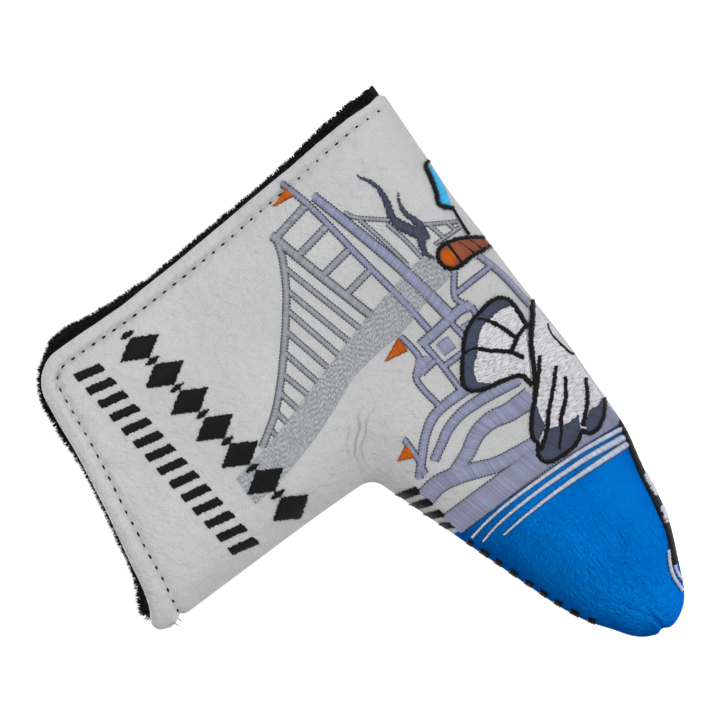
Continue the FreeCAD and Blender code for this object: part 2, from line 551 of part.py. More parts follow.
# ---------------------------------------------------------------- hem stitches


def hem_path():
    """The stitch line, from low on the slit's edge, round the corner and along the mouth."""
    fall = (dim["mouth_neck_z"] - dim["mouth_heel_z"]) / (dim["heel_x"] - dim["crotch_x"])
    sweep = math.pi / 2 - math.atan(fall)
    slit_x = dim["heel_x"] - dim["hem_inset"]
    mouth_z = dim["mouth_heel_z"] + dim["hem_inset"] * (fall - math.hypot(1, fall))
    corner_r = dim["mouth_round"] - dim["hem_inset"]
    centre_x, centre_z = slit_x - corner_r, mouth_z - corner_r * math.tan(sweep / 2)
    line = [(dim["heel_x"] - dim["hem_low_inset"], dim["hem_low_z"]), (slit_x, dim["hem_bend_z"])]
    steps = 4
    for n in range(steps + 1):
        angle = sweep * n / steps
        line.append((centre_x + corner_r * math.cos(angle), centre_z + corner_r * math.sin(angle)))
    start_x, start_z = line[-1]
    end_x = dim["crotch_x"] + 1
    line.append((end_x, start_z + (start_x - end_x) * fall))
    return line


def stitch_places(line, pitch):
    """Points and directions every pitch along a line."""
    places = []
    left = pitch / 2
    for (ax, az), (bx, bz) in zip(line, line[1:]):
        span = math.hypot(bx - ax, bz - az)
        while left < span:
            t = left / span
            places.append((ax + (bx - ax) * t, az + (bz - az) * t, math.atan2(bz - az, bx - ax)))
            left += pitch
        left -= span
    return places


def hem_stitches(name, side, shell, fold_line):
    """The row of stitches on one side, as two sub-parts either side of the fold."""
    groups = {"cover": [], "flap": []}
    for n, (x, z, angle) in enumerate(stitch_places(hem_path(), dim["stitch_pitch"])):
        from_fold = (x - fold_line[0]) * fold_line[2] + (z - fold_line[1]) * fold_line[3]
        under_pennant = side < 0 and PENNANT_SPAN[0] < z < PENNANT_SPAN[1]
        if abs(from_fold) < dim["stitch_len"] or under_pennant:
            continue
        box = doc.addObject("Part::Box", f"{name}_{n}")
        box.setExpression("Length", "Dims.stitch_len")
        box.setExpression("Height", "Dims.stitch_width")
        box.Width = dim["half"] + 1
        turned = Rotation(Vector(0, 1, 0), -math.degrees(angle))
        corner = Vector(-dim["stitch_len"] / 2, min(side, 0) * (dim["half"] + 1), -dim["stitch_width"] / 2)
        box.Placement = FreeCAD.Placement(Vector(x, 0, z) + turned.multVec(corner), turned)
        groups["flap" if from_fold > 0 else "cover"].append(box)
    for group, boxes in groups.items():
        label = name + "_hem_stitches" if group == "cover" else name + "_flap_stitches"
        keep(label, combine("MultiCommon", label, [shell, combine("Compound", label + "_row", boxes)]))


# ---------------------------------------------------------------- the cover and its two flaps

SUB_PARTS = {}


def keep(label, piece):
    """Marks a document object as a sub-part of the cover."""
    piece.Label = label
    SUB_PARTS[label] = piece


def wall_pieces():
    """Leather, foam and lining, as one whole each, before they are split at the folds."""
    outer = layer("outer_form", "0", rounded_mouth=True)
    foam_inset = "Dims.leather"
    foam_form = layer("foam_form", foam_inset, "-Dims.leather", "-Dims.leather", True)
    lining_inset = "(Dims.leather + Dims.foam)"
    lining_cutter = layer("lining_cutter", lining_inset, "30", "30")
    lining_front = layer("lining_front_form", lining_inset, "-Dims.plush_short", "-Dims.plush_short", True)
    lining_back = layer("lining_back_form", lining_inset, "Dims.plush_proud", "Dims.plush_proud", True)
    cavity = layer("cavity", "(Dims.leather + Dims.foam + Dims.plush)", "30", "30")
    leather = cut("leather_whole", outer, [foam_form, lining_cutter])
    foam = cut("foam_whole", foam_form, [lining_cutter])
    front = combine("MultiCommon", "lining_front_half", [lining_front, FRONT])
    back = combine("MultiCommon", "lining_back_half", [lining_back, BACK])
    lining = cut("lining_whole", combine("MultiFuse", "lining_both", [front, back]), [cavity])
    shell = cut("thread_shell", layer("thread_form", "(0 - Dims.thread_rise)", rounded_mouth=True), [outer])
    return leather, foam, lining, shell


def magnet_places(side):
    """Placements of one flap's two magnets, square to the wedge and midway through the foam."""
    slope = (dim["half"] - dim["slit_half"]) / (dim["heel_x"] - dim["wedge_x"])
    depth = dim["leather"] + dim["foam"] / 2
    x = dim["heel_x"] - dim["magnet_inset"]
    y = dim["slit_half"] + slope * dim["magnet_inset"] - depth
    turned = Rotation(Vector(0, 0, 1), Vector(slope, side, 0))
    for n in range(2):
        yield FreeCAD.Placement(Vector(x, side * y, dim["magnet_low_z"] + n * dim["magnet_pitch"]), turned)


def disc(name, radius, thick, place):
    """A cylinder centred on a placement."""
    made = doc.addObject("Part::Cylinder", name)
    made.setExpression("Radius", radius)
    made.setExpression("Height", thick)
    made.Placement = place.multiply(FreeCAD.Placement(Vector(0, 0, -sheet_value(thick) / 2), Rotation()))
    return made


def flap_pieces(label, side, zone, leather, foam, lining):
    """One heel flap: its share of the wall, and two magnets in pockets in the foam."""
    magnets, pockets = [], []
    for n, place in enumerate(magnet_places(side)):
        magnets.append(disc(f"{label}_magnet_{n}", "Dims.magnet_r", "Dims.magnet_thick", place))
        pockets.append(disc(f"{label}_pocket_{n}", "Dims.magnet_r + Dims.magnet_slack",
                            "Dims.magnet_thick + 2 * Dims.magnet_slack", place))
    keep(label + "_leather", combine("MultiCommon", label + "_leather", [leather, zone]))
    padding = combine("MultiCommon", label + "_foam_whole", [foam, zone])
    keep(label + "_foam", cut(label + "_foam", padding, pockets))
    keep(label + "_lining", combine("MultiCommon", label + "_lining", [lining, zone]))
    keep(label + "_magnets", combine("Compound", label + "_magnets", magnets))


FRONT, BACK = half_space("front_half", -1), half_space("back_half", 1)
flap_wedge = fold_zone("flap_wedge", "Dims.fold_gap / 2")
cover_wedge = fold_zone("cover_wedge", "(0 - Dims.fold_gap / 2)")
front_zone = combine("MultiCommon", "front_flap_zone", [flap_wedge, FRONT])
back_zone = combine("MultiCommon", "back_flap_zone", [flap_wedge, BACK])
cap_tilt = "(Dims.cap_high_x - Dims.cap_low_x) / Dims.cap_high_z"
cap_zone = polygon_pad("cap_zone", "XZ_Plane", [
    (f"{-FAR}", "-20"), (f"Dims.cap_low_x - 20 * {cap_tilt}", "-20"),
    (f"Dims.cap_high_x + 20 * {cap_tilt}", "Dims.cap_high_z + 20"), (f"{-FAR}", "Dims.cap_high_z + 20")])

leather, foam, lining, shell = wall_pieces()
cover_leather = cut("cover_leather", leather, [cover_wedge])
keep("toe_leather", combine("MultiCommon", "toe_leather", [cover_leather, cap_zone]))
keep("outer_leather", cut("outer_leather", cover_leather, [cap_zone]))
keep("foam_padding", cut("foam_padding", foam, [cover_wedge]))
keep("plush_lining", cut("plush_lining", lining, [cover_wedge]))
flap_pieces("front_flap", -1, front_zone, leather, foam, lining)
flap_pieces("back_flap", 1, back_zone, leather, foam, lining)

fold_run = dim["heel_x"] - dim["fold_high_x"]
fold_rise = dim["fold_high_z"] - dim["fold_low_z"]
fold_span = math.hypot(fold_run, fold_rise)
fold_line = (dim["heel_x"], dim["fold_low_z"], fold_rise / fold_span, fold_run / fold_span)
front_shell = combine("MultiCommon", "front_thread_shell", [shell, FRONT])
back_shell = combine("MultiCommon", "back_thread_shell", [shell, BACK])
hem_stitches("front", -1, front_shell, fold_line)
hem_stitches("back", 1, back_shell, fold_line)
art_nodes(-1, FRONT_ART, front_shell, front_zone, cover_wedge,
          ("bridge", "harbour", "pennants", "large_pattern", "small_pattern"))
art_nodes(1, BACK_ART, back_shell, back_zone, cover_wedge, ("back_pattern",))
doc.recompute()

# ---------------------------------------------------------------- checks and files
for thing in doc.Objects:
    if {"Invalid", "Error"} & set(thing.State):
        raise RuntimeError(f"{thing.Label} failed: {thing.State}")
os.makedirs("parts", exist_ok=True)
for label, piece in SUB_PARTS.items():
    if piece.Shape.isNull() or not piece.Shape.isValid() or not piece.Shape.Solids:
        raise RuntimeError(f"{label} has no valid solid")
    piece.Shape.exportStep(f"parts/{label}.step")
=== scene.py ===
"""Putter head cover: embroidered leather, plush and thread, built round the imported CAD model.

Working lengths are in millimetres in the CAD's own frame; meshes are written in metres.
"""
import json
import math

import bpy
import numpy as np
from mathutils import Matrix, Vector
from mathutils.geometry import delaunay_2d_cdt


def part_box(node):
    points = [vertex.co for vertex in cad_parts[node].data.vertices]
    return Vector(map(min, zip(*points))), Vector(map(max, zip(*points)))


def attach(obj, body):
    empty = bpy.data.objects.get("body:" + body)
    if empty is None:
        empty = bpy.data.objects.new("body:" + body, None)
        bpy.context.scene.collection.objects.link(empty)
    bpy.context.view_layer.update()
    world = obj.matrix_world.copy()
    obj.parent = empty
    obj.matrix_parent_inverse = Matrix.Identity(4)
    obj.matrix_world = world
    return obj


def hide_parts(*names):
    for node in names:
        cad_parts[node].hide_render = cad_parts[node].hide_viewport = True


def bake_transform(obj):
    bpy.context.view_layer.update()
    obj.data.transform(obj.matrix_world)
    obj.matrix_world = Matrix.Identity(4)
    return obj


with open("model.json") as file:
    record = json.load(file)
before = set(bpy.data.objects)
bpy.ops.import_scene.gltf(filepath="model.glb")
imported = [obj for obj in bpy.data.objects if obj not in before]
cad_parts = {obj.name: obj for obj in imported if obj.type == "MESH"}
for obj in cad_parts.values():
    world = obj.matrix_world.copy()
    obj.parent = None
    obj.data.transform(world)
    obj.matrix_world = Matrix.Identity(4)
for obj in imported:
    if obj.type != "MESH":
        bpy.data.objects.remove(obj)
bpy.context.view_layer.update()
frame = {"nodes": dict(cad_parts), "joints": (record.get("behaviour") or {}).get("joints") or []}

MM = 0.001
RANDOM = np.random.default_rng(20)

# ------------------------------------------------------------------ the form, from the CAD nodes
HEEL_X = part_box("front_flap_leather")[1].x / MM
TIP_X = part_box("toe_leather")[0].x / MM
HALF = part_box("outer_leather")[1].y / MM

NECK_X = -21.5
CROTCH = (NECK_X, 65.5)
CROTCH_R = 4.8
SOLE_END_X = -50.0
BELLY_R = 82.0
NOSE_R = 12.0
BROW_R = 110.0
SLOPE = math.radians(18.6)
TIP_WAY = (-0.97, 0.243)

# the mouth falls from the neck's corner to the slit's, with a sag and small unevenness: middle, reach, rise
MOUTH_HEEL_Z = 123.0
MOUTH_NECK_Z = 137.5
MOUTH_SAG = 1.5
MOUTH_UNEVEN = [(45, 10, 0.4), (-10, 5, -0.3)]
CORNER_R = 7.5
NECK_CORNER_R = 2.2

# ends of the line where the blue toe leather is joined on, as (x, z), and the spans it is cut into
CAP_LOW = (-50.6, 0.0)
CAP_HIGH = (-48.2, 56.0)
CAP_SPANS = 57

# half thickness: at the slit, in the neck and at the toe
SLIT_HALF = 9.0
WEDGE_X = 20.0
NECK_HALF = 14.5
NECK_LOW_Z = 60.0
TOE_HALF = 12.0
TOE_TAPER_X = -65.0
TOE_END_X = -110.0
FLAT_HALF = HALF - 0.4

# how far inside its edges each side reaches full thickness, and how square its shoulder is
SOLE_REACH = 13.0
SOLE_POWER = 2.3
SEAM_REACH = 21.0
SEAM_POWER = 2.0
CALM_REACH = 4.0

# the hem's roll, and the stitches' distance inside it: at the slit's foot, above the bend, extra at the neck
HEM_R = 1.9
HEM_LOW_INSET = 3.6
HEM_INSET = 5.3
HEM_NECK_EXTRA = 1.9
HEM_LOW_Z = 3.5
HEM_BEND_Z = 62.0
HEM_WIDENS_X = 12.0
STITCH_PITCH = 3.35
PUFF = 0.55
SINKS = [(0.85, 0.75), (0.4, 2.4)]
PUCKER = 0.2
PUCKER_FULL_INSET = 3.4
FOAM_PRESSED = 1.1

# layers: inset from the outer face, reach past the hem's middle, thickness; and the pile's density, by side
FOAM_INSET = 1.2
FOAM_OUT = -2.2
FOAM_THICK = 1.4
LINING_INSET = 4.3
LINING_OUT = {-1: HEM_R - 0.9, 1: HEM_R + 0.5}
LINING_THICK = 1.6
LEATHER_THICK = 1.0
PILE_DENSITY = {-1: 34, 1: 80}
PILE_BAND = 9.0
PILE_INSIDE = 0.72

# unevenness of the leather: height, size of the bumps, seed
RIPPLES_OF_LEATHER = [(0.22, 26, 3), (0.05, 6, 13)]

# creases pressed into the leather: line, depth, width
CREASES = [
    ([(-23.2, 65.4), (-18.6, 65.8), (-14.2, 64.9), (-11.2, 62.2), (-9.4, 59.6), (-6.4, 58), (-4.4, 54.4)],
     0.52, 0.26),
    ([(-22.6, 64.4), (-17.8, 64.2), (-13.6, 62.4), (-11.8, 59.4), (-8.6, 56.8), (-7.2, 52.8)], 0.44, 0.24),
    ([(-19.4, 66.9), (-14.6, 66.6), (-10.6, 65.2), (-8.2, 62.4), (-4.6, 60.8)], 0.3, 0.24),
    ([(-24.6, 63.9), (-23.8, 60.2), (-22.4, 57.2)], 0.32, 0.24),
    ([(-104, 26.4), (-101.4, 26), (-98.6, 26.8)], 1.0, 0.5),
    ([(-98.5, 28.4), (-95, 29.6), (-91, 31.5)], 0.22, 0.6),
    ([(-98.6, 22.4), (-95, 20.6), (-90.5, 19.6)], 0.22, 0.6),
    ([(-95, 24.4), (-90, 23.6), (-84, 24.2)], 0.2, 0.6),
    ([(-89, 27.4), (-82, 26.6), (-75, 27.2)], 0.14, 0.8),
    ([(-88, 21.5), (-79, 21), (-71, 19.5)], 0.14, 0.8),
]
HOLLOW = ((0, 52), 9, 0.4)

# how far the slit's edge, and the plush beyond it, sway out by height; and the plush at the mouth by x
SLIT_SWAY = [(0, 3.1), (11, 3.9), (22, 3.3), (32, 2.4), (50, 1.4), (72, 0.0), (92, -0.7), (110, 0.2),
             (124, 0.3)]
PLUSH_SWAY = [(0, 2.5), (5, 1.7), (16, 1.1), (30, 0.15), (44, -0.3), (60, 0.0), (82, 0.0), (91, 0.9),
              (99, 1.3), (108, 2.4), (113, 2.0), (119, 0.5)]
MOUTH_SWAY = [(-22, 0.3), (-14, 1.9), (-9, 0.7), (-4, -0.3), (8, 0.05), (20, -0.45), (29, -0.1), (37, 0.5),
              (48, 0.4), (58, -0.5)]
PROUD_FROM_X = 38.0
PROUD_FOOT_X = 51.0
PROUD_FOOT_Z = 12.0
PROUD_FOOT_DROP = 3.4
PROUD_MOUTH_Z = 14.0
SWAY_FROM_X = 22.0
HEEL_SAG = 1.3
# where the sole's edge lifts or drops: middle x, reach, rise
SOLE_RISES = [(-65.5, 11, 1.9), (-24, 13, -0.6), (27, 7, 0.45)]
SOLE_RISE_Z = 22.0
# parts of the toe that are pushed about in the plane: middle, reach, push
TOE_PUSHES = [((-99.5, 16.5), 8.5, (-0.9, -1.1)), ((-98.5, 36.0), 8.0, (0.9, -0.95)),
              ((-104.2, 22.4), 3.6, (-0.5, 0.2)), ((-105.4, 25.9), 1.3, (1.7, 0.2))]
SEAM_SINK = 0.15
SEAM_SINK_WIDTH = 1.3
# the neck's seam stands out, most just above the crotch, and its hem bulges at the corner
NECK_REACH = 3.0
NECK_OUT = 0.25
CROTCH_OUT = 0.7
CROTCH_OUT_REACH = 30.0
BULGE_UP = 1.2
BULGE_REACH = 3.6
BULGE_NOTCH = 1.1
BULGE_OUT = 0.5

# distances in from the sewn edges and the open edge at which the sheets have rows of points
EDGE_RINGS = [0.0, 0.12, 0.45, 1.0, 1.8, 2.8, 4.0, 5.4]
HEM_RINGS = [0.7, 1.4, 2.1, 2.8, 3.4, 4.0, 4.7, 5.5, 6.5]
EDGE_STEP = 1.1
NOSE_STEP = 0.7
GRID_STEP = 1.05
CREASE_STEP = 0.45
ROLL_STEPS = 9
TURN_IN = 6.0

# a strand's cross-section (sideways, up), its clearance from the panel's edge, the length of the painted
# shade at its end where it dives
ACROSS = ((-0.5, 0.0), (-0.3, 0.75), (0.0, 1.0), (0.3, 0.75), (0.5, 0.0))
EDGE_CLEAR = 0.14
END_LENGTH = 0.5
# the front's artwork is drawn this far out of place and is set back towards the neck, most on the flap
FRONT_SHIFT = 1.9
SHIFT_FROM_X = -6.0
SHIFT_SPAN = 46.0

# the arcs' centres, from the sizes above
NOSE_X = TIP_X + NOSE_R
NOSE_Z = BELLY_R - math.sqrt((BELLY_R - NOSE_R) ** 2 - (NOSE_X - SOLE_END_X) ** 2)
ALONG = (-math.cos(SLOPE), -math.sin(SLOPE))
INWARD = (math.sin(SLOPE), -math.cos(SLOPE))
NOSE_FROM_CROTCH = (NOSE_X - CROTCH[0], NOSE_Z - CROTCH[1])
NOSE_ALONG = NOSE_FROM_CROTCH[0] * ALONG[0] + NOSE_FROM_CROTCH[1] * ALONG[1]
NOSE_INWARD = NOSE_FROM_CROTCH[0] * INWARD[0] + NOSE_FROM_CROTCH[1] * INWARD[1]
BROW_ALONG = NOSE_ALONG - math.sqrt((BROW_R - NOSE_R) ** 2 - (BROW_R - NOSE_INWARD) ** 2)
BROW_X = CROTCH[0] + ALONG[0] * BROW_ALONG + INWARD[0] * BROW_R
BROW_Z = CROTCH[1] + ALONG[1] * BROW_ALONG + INWARD[1] * BROW_R
MOUTH_FALL = (MOUTH_NECK_Z - MOUTH_HEEL_Z) / (HEEL_X - NECK_X)
MOUTH_COS = 1 / math.hypot(1, MOUTH_FALL)


def bump_at(value, middle, reach):
    """A soft bump: 1 at the middle, falling away over about one reach."""
    return np.exp(-((value - middle) / reach) ** 2)


def smooth_max(a, b, reach):
    """The larger of two values, rounded over where they are within reach of each other."""
    return np.maximum(a, b) + np.maximum(reach - np.abs(a - b), 0) ** 2 / (4 * reach)


def smooth_min(a, b, reach):
    return -smooth_max(-a, -b, reach)


def nose_distance(x, z, joint):
    """Distance inwards from the nose, from its tip to where another arc joins in the joint's direction."""
    px, pz = x - NOSE_X, z - NOSE_Z
    span = math.hypot(*joint)
    jx, jz = joint[0] / span, joint[1] / span
    tx, tz = TIP_WAY
    turn = jx * tz - jz * tx
    between = ((jx * pz - jz * px) * turn >= 0) & ((px * tz - pz * tx) * turn >= 0)
    return NOSE_R - np.where(between, np.hypot(px, pz), np.maximum(px * jx + pz * jz, px * tx + pz * tz))


def sole_distance(x, z):
    """Distance inwards from the sole, the belly and the lower half of the nose."""
    belly = BELLY_R - np.hypot(x - SOLE_END_X, z - BELLY_R)
    to_nose = (NOSE_X - SOLE_END_X, NOSE_Z - BELLY_R)
    past = to_nose[0] * (z - BELLY_R) - to_nose[1] * (x - SOLE_END_X) < 0
    return np.where(x >= SOLE_END_X, z, np.where(past, nose_distance(x, z, to_nose), belly))


def top_distance(x, z):
    """Distance inwards from the toe's top line, the brow and the upper half of the nose."""
    line = (x - CROTCH[0]) * INWARD[0] + (z - CROTCH[1]) * INWARD[1]
    brow = BROW_R - np.hypot(x - BROW_X, z - BROW_Z)
    on_brow = (x - BROW_X) * ALONG[0] + (z - BROW_Z) * ALONG[1] > 0
    to_nose = (NOSE_X - BROW_X, NOSE_Z - BROW_Z)
    past = on_brow & (to_nose[0] * (z - BROW_Z) - to_nose[1] * (x - BROW_X) > 0)
    return np.where(past, nose_distance(x, z, to_nose), np.where(on_brow, brow, line))


def seam_distance(x, z):
    """Distance inwards from the closing seam: the neck's inner edge, the crotch and the top line."""
    blend = 4 * CROTCH_R * (1 - math.cos((math.pi / 2 - SLOPE) / 2))
    return smooth_max(x - NECK_X, top_distance(x, z), blend)


def mouth_z(x):
    """Height of the mouth's edge."""
    share = np.clip((x - NECK_X) / (HEEL_X - NECK_X), 0, 1)
    uneven = sum(rise * bump_at(x, middle, reach) for middle, reach, rise in MOUTH_UNEVEN)
    return MOUTH_HEEL_Z + (HEEL_X - x) * MOUTH_FALL - MOUTH_SAG * np.sin(math.pi * share) + uneven


def open_distance(x, z, out=0.0):
    """Distance inwards from the slit's edge and the mouth, whose corners are round."""
    a = HEEL_X - HEM_R + out - x
    b = (mouth_z(x) - HEM_R + out - z) * MOUTH_COS
    c = x - NECK_X
    heel_r = CORNER_R + out
    heel = np.where((a < heel_r) & (b < heel_r), heel_r - np.hypot(heel_r - a, heel_r - b), np.minimum(a, b))
    neck_r = NECK_CORNER_R
    in_neck = (c < neck_r) & (b < neck_r)
    return np.where(in_neck, neck_r - np.hypot(neck_r - c, neck_r - b), heel)


def hem_inset(x, z):
    """How far the stitches run inside the open edge: less at the slit's foot, more towards the neck."""
    share = np.clip((z - HEM_LOW_Z) / (HEM_BEND_Z - HEM_LOW_Z), 0, 1)
    to_neck = np.clip((HEM_WIDENS_X - x) / (HEM_WIDENS_X - NECK_X), 0, 1)
    return HEM_LOW_INSET + (HEM_INSET - HEM_LOW_INSET) * share + HEM_NECK_EXTRA * to_neck - HEM_R


def full_half(x, z):
    """Half the cover's thickness away from its edges."""
    wedge = SLIT_HALF + (HALF - SLIT_HALF) / (HEEL_X - WEDGE_X) * (HEEL_X - np.minimum(x, HEEL_X))
    neck = HALF - (HALF - NECK_HALF) * (z - NECK_LOW_Z) / (MOUTH_NECK_Z - NECK_LOW_Z)
    toe = TOE_HALF + (HALF - TOE_HALF) * (x - TOE_END_X) / (TOE_TAPER_X - TOE_END_X)
    flat = np.full_like(x, FLAT_HALF)
    return smooth_min(smooth_min(wedge, neck, 3.0), smooth_min(toe, flat, 5.0), 3.0)


def swell(share, power):
    """A rounded profile: 0 at an edge, 1 from one reach inside it."""
    return (1 - (1 - np.clip(share, 0, 1)) ** power) ** (1 / power)


def ripple(x, z, seed, size, count=9):
    """Smooth seeded unevenness between about -1 and 1, with bumps about size across."""
    rng = np.random.default_rng(seed)
    total = np.zeros_like(x)
    for _ in range(count):
        angle, phase = rng.uniform(0, 2 * math.pi, 2)
        k = 2 * math.pi / (size * rng.uniform(0.7, 1.8))
        total += np.sin(k * (x * math.cos(angle) + z * math.sin(angle)) + phase)
    return total / math.sqrt(count)


def line_distance(x, z, line):
    """Distance to a polyline, and the share of its length at the nearest point."""
    best = np.full_like(x, 1e9)
    share = np.zeros_like(x)
    last = len(line) - 1
    for n, ((ax, az), (bx, bz)) in enumerate(zip(line, line[1:])):
        dx, dz = bx - ax, bz - az
        t = np.clip(((x - ax) * dx + (z - az) * dz) / (dx * dx + dz * dz), 0, 1)
        gap = np.hypot(x - ax - t * dx, z - az - t * dz)
        share = np.where(gap < best, (n + t) / last, share)
        best = np.minimum(best, gap)
    return best, share


def half_depth(x, z, side=-1, inset=0.0):
    """Distance from the mid-plane to a layer's surface; inset 0 is the leather's outer face."""
    b = np.maximum(sole_distance(x, z) - inset, 0)
    t = np.maximum(seam_distance(x, z) - inset, 0)
    near_seam = b / (b + t + 1e-6)
    d = b * t / (np.hypot(b, t) + 1e-6)
    reach = SOLE_REACH + (SEAM_REACH - SOLE_REACH) * near_seam
    power = SOLE_POWER + (SEAM_POWER - SOLE_POWER) * near_seam
    depth = (full_half(x, z) - inset) * swell(d / reach, power)
    calm = np.clip(d / CALM_REACH, 0, 1)
    edge, row = open_distance(x, z), hem_inset(x, z)
    if inset == FOAM_INSET:
        depth = depth - FOAM_PRESSED * calm * bump_at(edge, row, 1.6)
    if inset:
        return np.maximum(depth, 0)
    for height, size, seed in RIPPLES_OF_LEATHER:
        depth = depth + calm * height * ripple(x, z, seed + side, size)
    puff = np.where(edge < row, PUFF * np.sin(math.pi * np.clip(edge / row, 0, 1)), 0)
    sink = sum(deep * bump_at(edge, row, wide) for deep, wide in SINKS)
    along = np.where(HEEL_X - x < (mouth_z(x) - z) * MOUTH_COS, z, x)
    pucker = PUCKER * np.clip(row / PUCKER_FULL_INSET, 0, 1) * bump_at(edge, row, 1.3)
    pucker = pucker * np.cos(2 * math.pi * along / STITCH_PITCH)
    depth = depth + calm * (puff - sink + pucker)
    near = np.clip(d / 1.2, 0, 1)
    for line, deep, wide in CREASES:
        gap, share = line_distance(x, z, line)
        fade = np.sin(math.pi * np.clip(share, 0.02, 0.98)) ** 0.6
        groove = bump_at(gap, 0, wide) - 0.45 * bump_at(gap, 2.1 * wide, 1.3 * wide)
        depth = depth - near * fade * (deep if side < 0 else 0.7 * deep) * groove
    (at_x, at_z), wide, deep = HOLLOW
    return np.maximum(depth - near * deep * bump_at(np.hypot(x - at_x, z - at_z), 0, wide), 0)


def sway(at, places):
    """A value that runs straight from place to place."""
    return np.interp(at, [place for place, _ in places], [value for _, value in places])


def lift(x, z, side, inset=0.0, rise=0.0):
    """Points of a layer over (x, z), moved out by rise along the surface's normal."""
    x, z = np.asarray(x, float), np.asarray(z, float)
    step = 0.06
    depth = half_depth(x, z, side, inset)
    on_edge = np.minimum(sole_distance(x, z), seam_distance(x, z)) - inset < 0.02
    depth = np.where(on_edge & (open_distance(x, z) > -0.5), 0, depth) if not inset else depth
    sx = (half_depth(x + step, z, side, inset) - half_depth(x - step, z, side, inset)) / (2 * step)
    sz = (half_depth(x, z + step, side, inset) - half_depth(x, z - step, side, inset)) / (2 * step)
    normal = np.stack([-sx, np.full_like(sx, side), -sz], axis=-1)
    normal /= np.linalg.norm(normal, axis=-1, keepdims=True)
    point = np.stack([x, side * depth, z], axis=-1)
    if not inset:
        nx = seam_distance(x + step, z) - seam_distance(x - step, z)
        nz = seam_distance(x, z + step) - seam_distance(x, z - step)
        span = np.hypot(nx, nz) + 1e-9
        near = bump_at(depth, 0, SEAM_SINK_WIDTH) * (sole_distance(x, z) > seam_distance(x, z))
        point[..., 0] += SEAM_SINK * near * nx / span
        point[..., 2] += SEAM_SINK * near * nz / span
    heel = np.clip((x - SWAY_FROM_X) / (HEEL_X - SWAY_FROM_X), 0, 1) ** 2
    low = np.clip(1 - z / SOLE_RISE_Z, 0, 1)
    point[..., 0] += heel * sway(z, SLIT_SWAY)
    rises = sum(rise * bump_at(x, middle, reach) for middle, reach, rise in SOLE_RISES)
    point[..., 2] += low * (rises - HEEL_SAG * heel)
    for (at_x, at_z), reach, (push_x, push_z) in TOE_PUSHES:
        share = bump_at(np.hypot(x - at_x, z - at_z), 0, reach)
        point[..., 0] += push_x * share
        point[..., 2] += push_z * share
    at_neck = bump_at(x, NECK_X, NECK_REACH) * (z > CROTCH[1] - 2)
    near_crotch = np.clip(1 - (z - CROTCH[1]) / CROTCH_OUT_REACH, 0, 1) ** 2
    point[..., 0] -= at_neck * (NECK_OUT + CROTCH_OUT * near_crotch)
    if not inset:
        edge, row = open_distance(x, z), hem_inset(x, z)
        band = np.clip(1 - edge / row, 0, 1)
        point[..., 2] += BULGE_UP * band * bump_at(x, NECK_X, BULGE_REACH)
        bulge = BULGE_NOTCH * bump_at(edge, row, 1.0) - BULGE_OUT * np.sin(math.pi * band)
        point[..., 0] += at_neck * bulge
    return point + rise * normal, normal


# ------------------------------------------------------------------ outlines and sheets
def arc_points(centre, radius, start, end, step):
    """Points about step apart along an arc, ends included."""
    count = max(2, int(abs(end - start) * radius / step))
    return [(centre[0] + radius * math.cos(start + (end - start) * n / count),
             centre[1] + radius * math.sin(start + (end - start) * n / count)) for n in range(count + 1)]


def line_points(a, b, step):
    """Points about step apart along a straight line, ends included."""
    count = max(1, int(math.dist(a, b) / step))
    return [(a[0] + (b[0] - a[0]) * n / count, a[1] + (b[1] - a[1]) * n / count) for n in range(count + 1)]


def sewn_outline(inset, out):
    """From the neck's corner down the seam, round the toe and along the sole to the slit."""
    corner_z = float(mouth_z(np.array(NECK_X + inset))) - HEM_R + out - NECK_CORNER_R / MOUTH_COS
    crotch = (CROTCH[0] - CROTCH_R, CROTCH[1] + CROTCH_R * (1 - math.sin(SLOPE)) / math.cos(SLOPE))
    turn = math.pi / 2 - SLOPE
    path = line_points((NECK_X + inset, corner_z), (NECK_X + inset, crotch[1]), EDGE_STEP)
    bend = arc_points(crotch, CROTCH_R + inset, 0, -turn, EDGE_STEP)
    brow_start = (BROW_X - INWARD[0] * (BROW_R - inset), BROW_Z - INWARD[1] * (BROW_R - inset))
    top = line_points(bend[-1], brow_start, EDGE_STEP)
    up = math.atan2(NOSE_Z - BROW_Z, NOSE_X - BROW_X)
    down = math.atan2(NOSE_Z - BELLY_R, NOSE_X - SOLE_END_X) + 2 * math.pi
    brow = arc_points((BROW_X, BROW_Z), BROW_R - inset, math.pi / 2 + SLOPE, up, EDGE_STEP)
    nose = arc_points((NOSE_X, NOSE_Z), NOSE_R - inset, up, down, NOSE_STEP)
    belly = arc_points((SOLE_END_X, BELLY_R), BELLY_R - inset, down, 1.5 * math.pi, EDGE_STEP)
    sole = line_points((SOLE_END_X, inset), (HEEL_X - HEM_R + out, inset), EDGE_STEP)
    for part in (bend, top, brow, nose, belly, sole):
        path += part[1:]
    return path


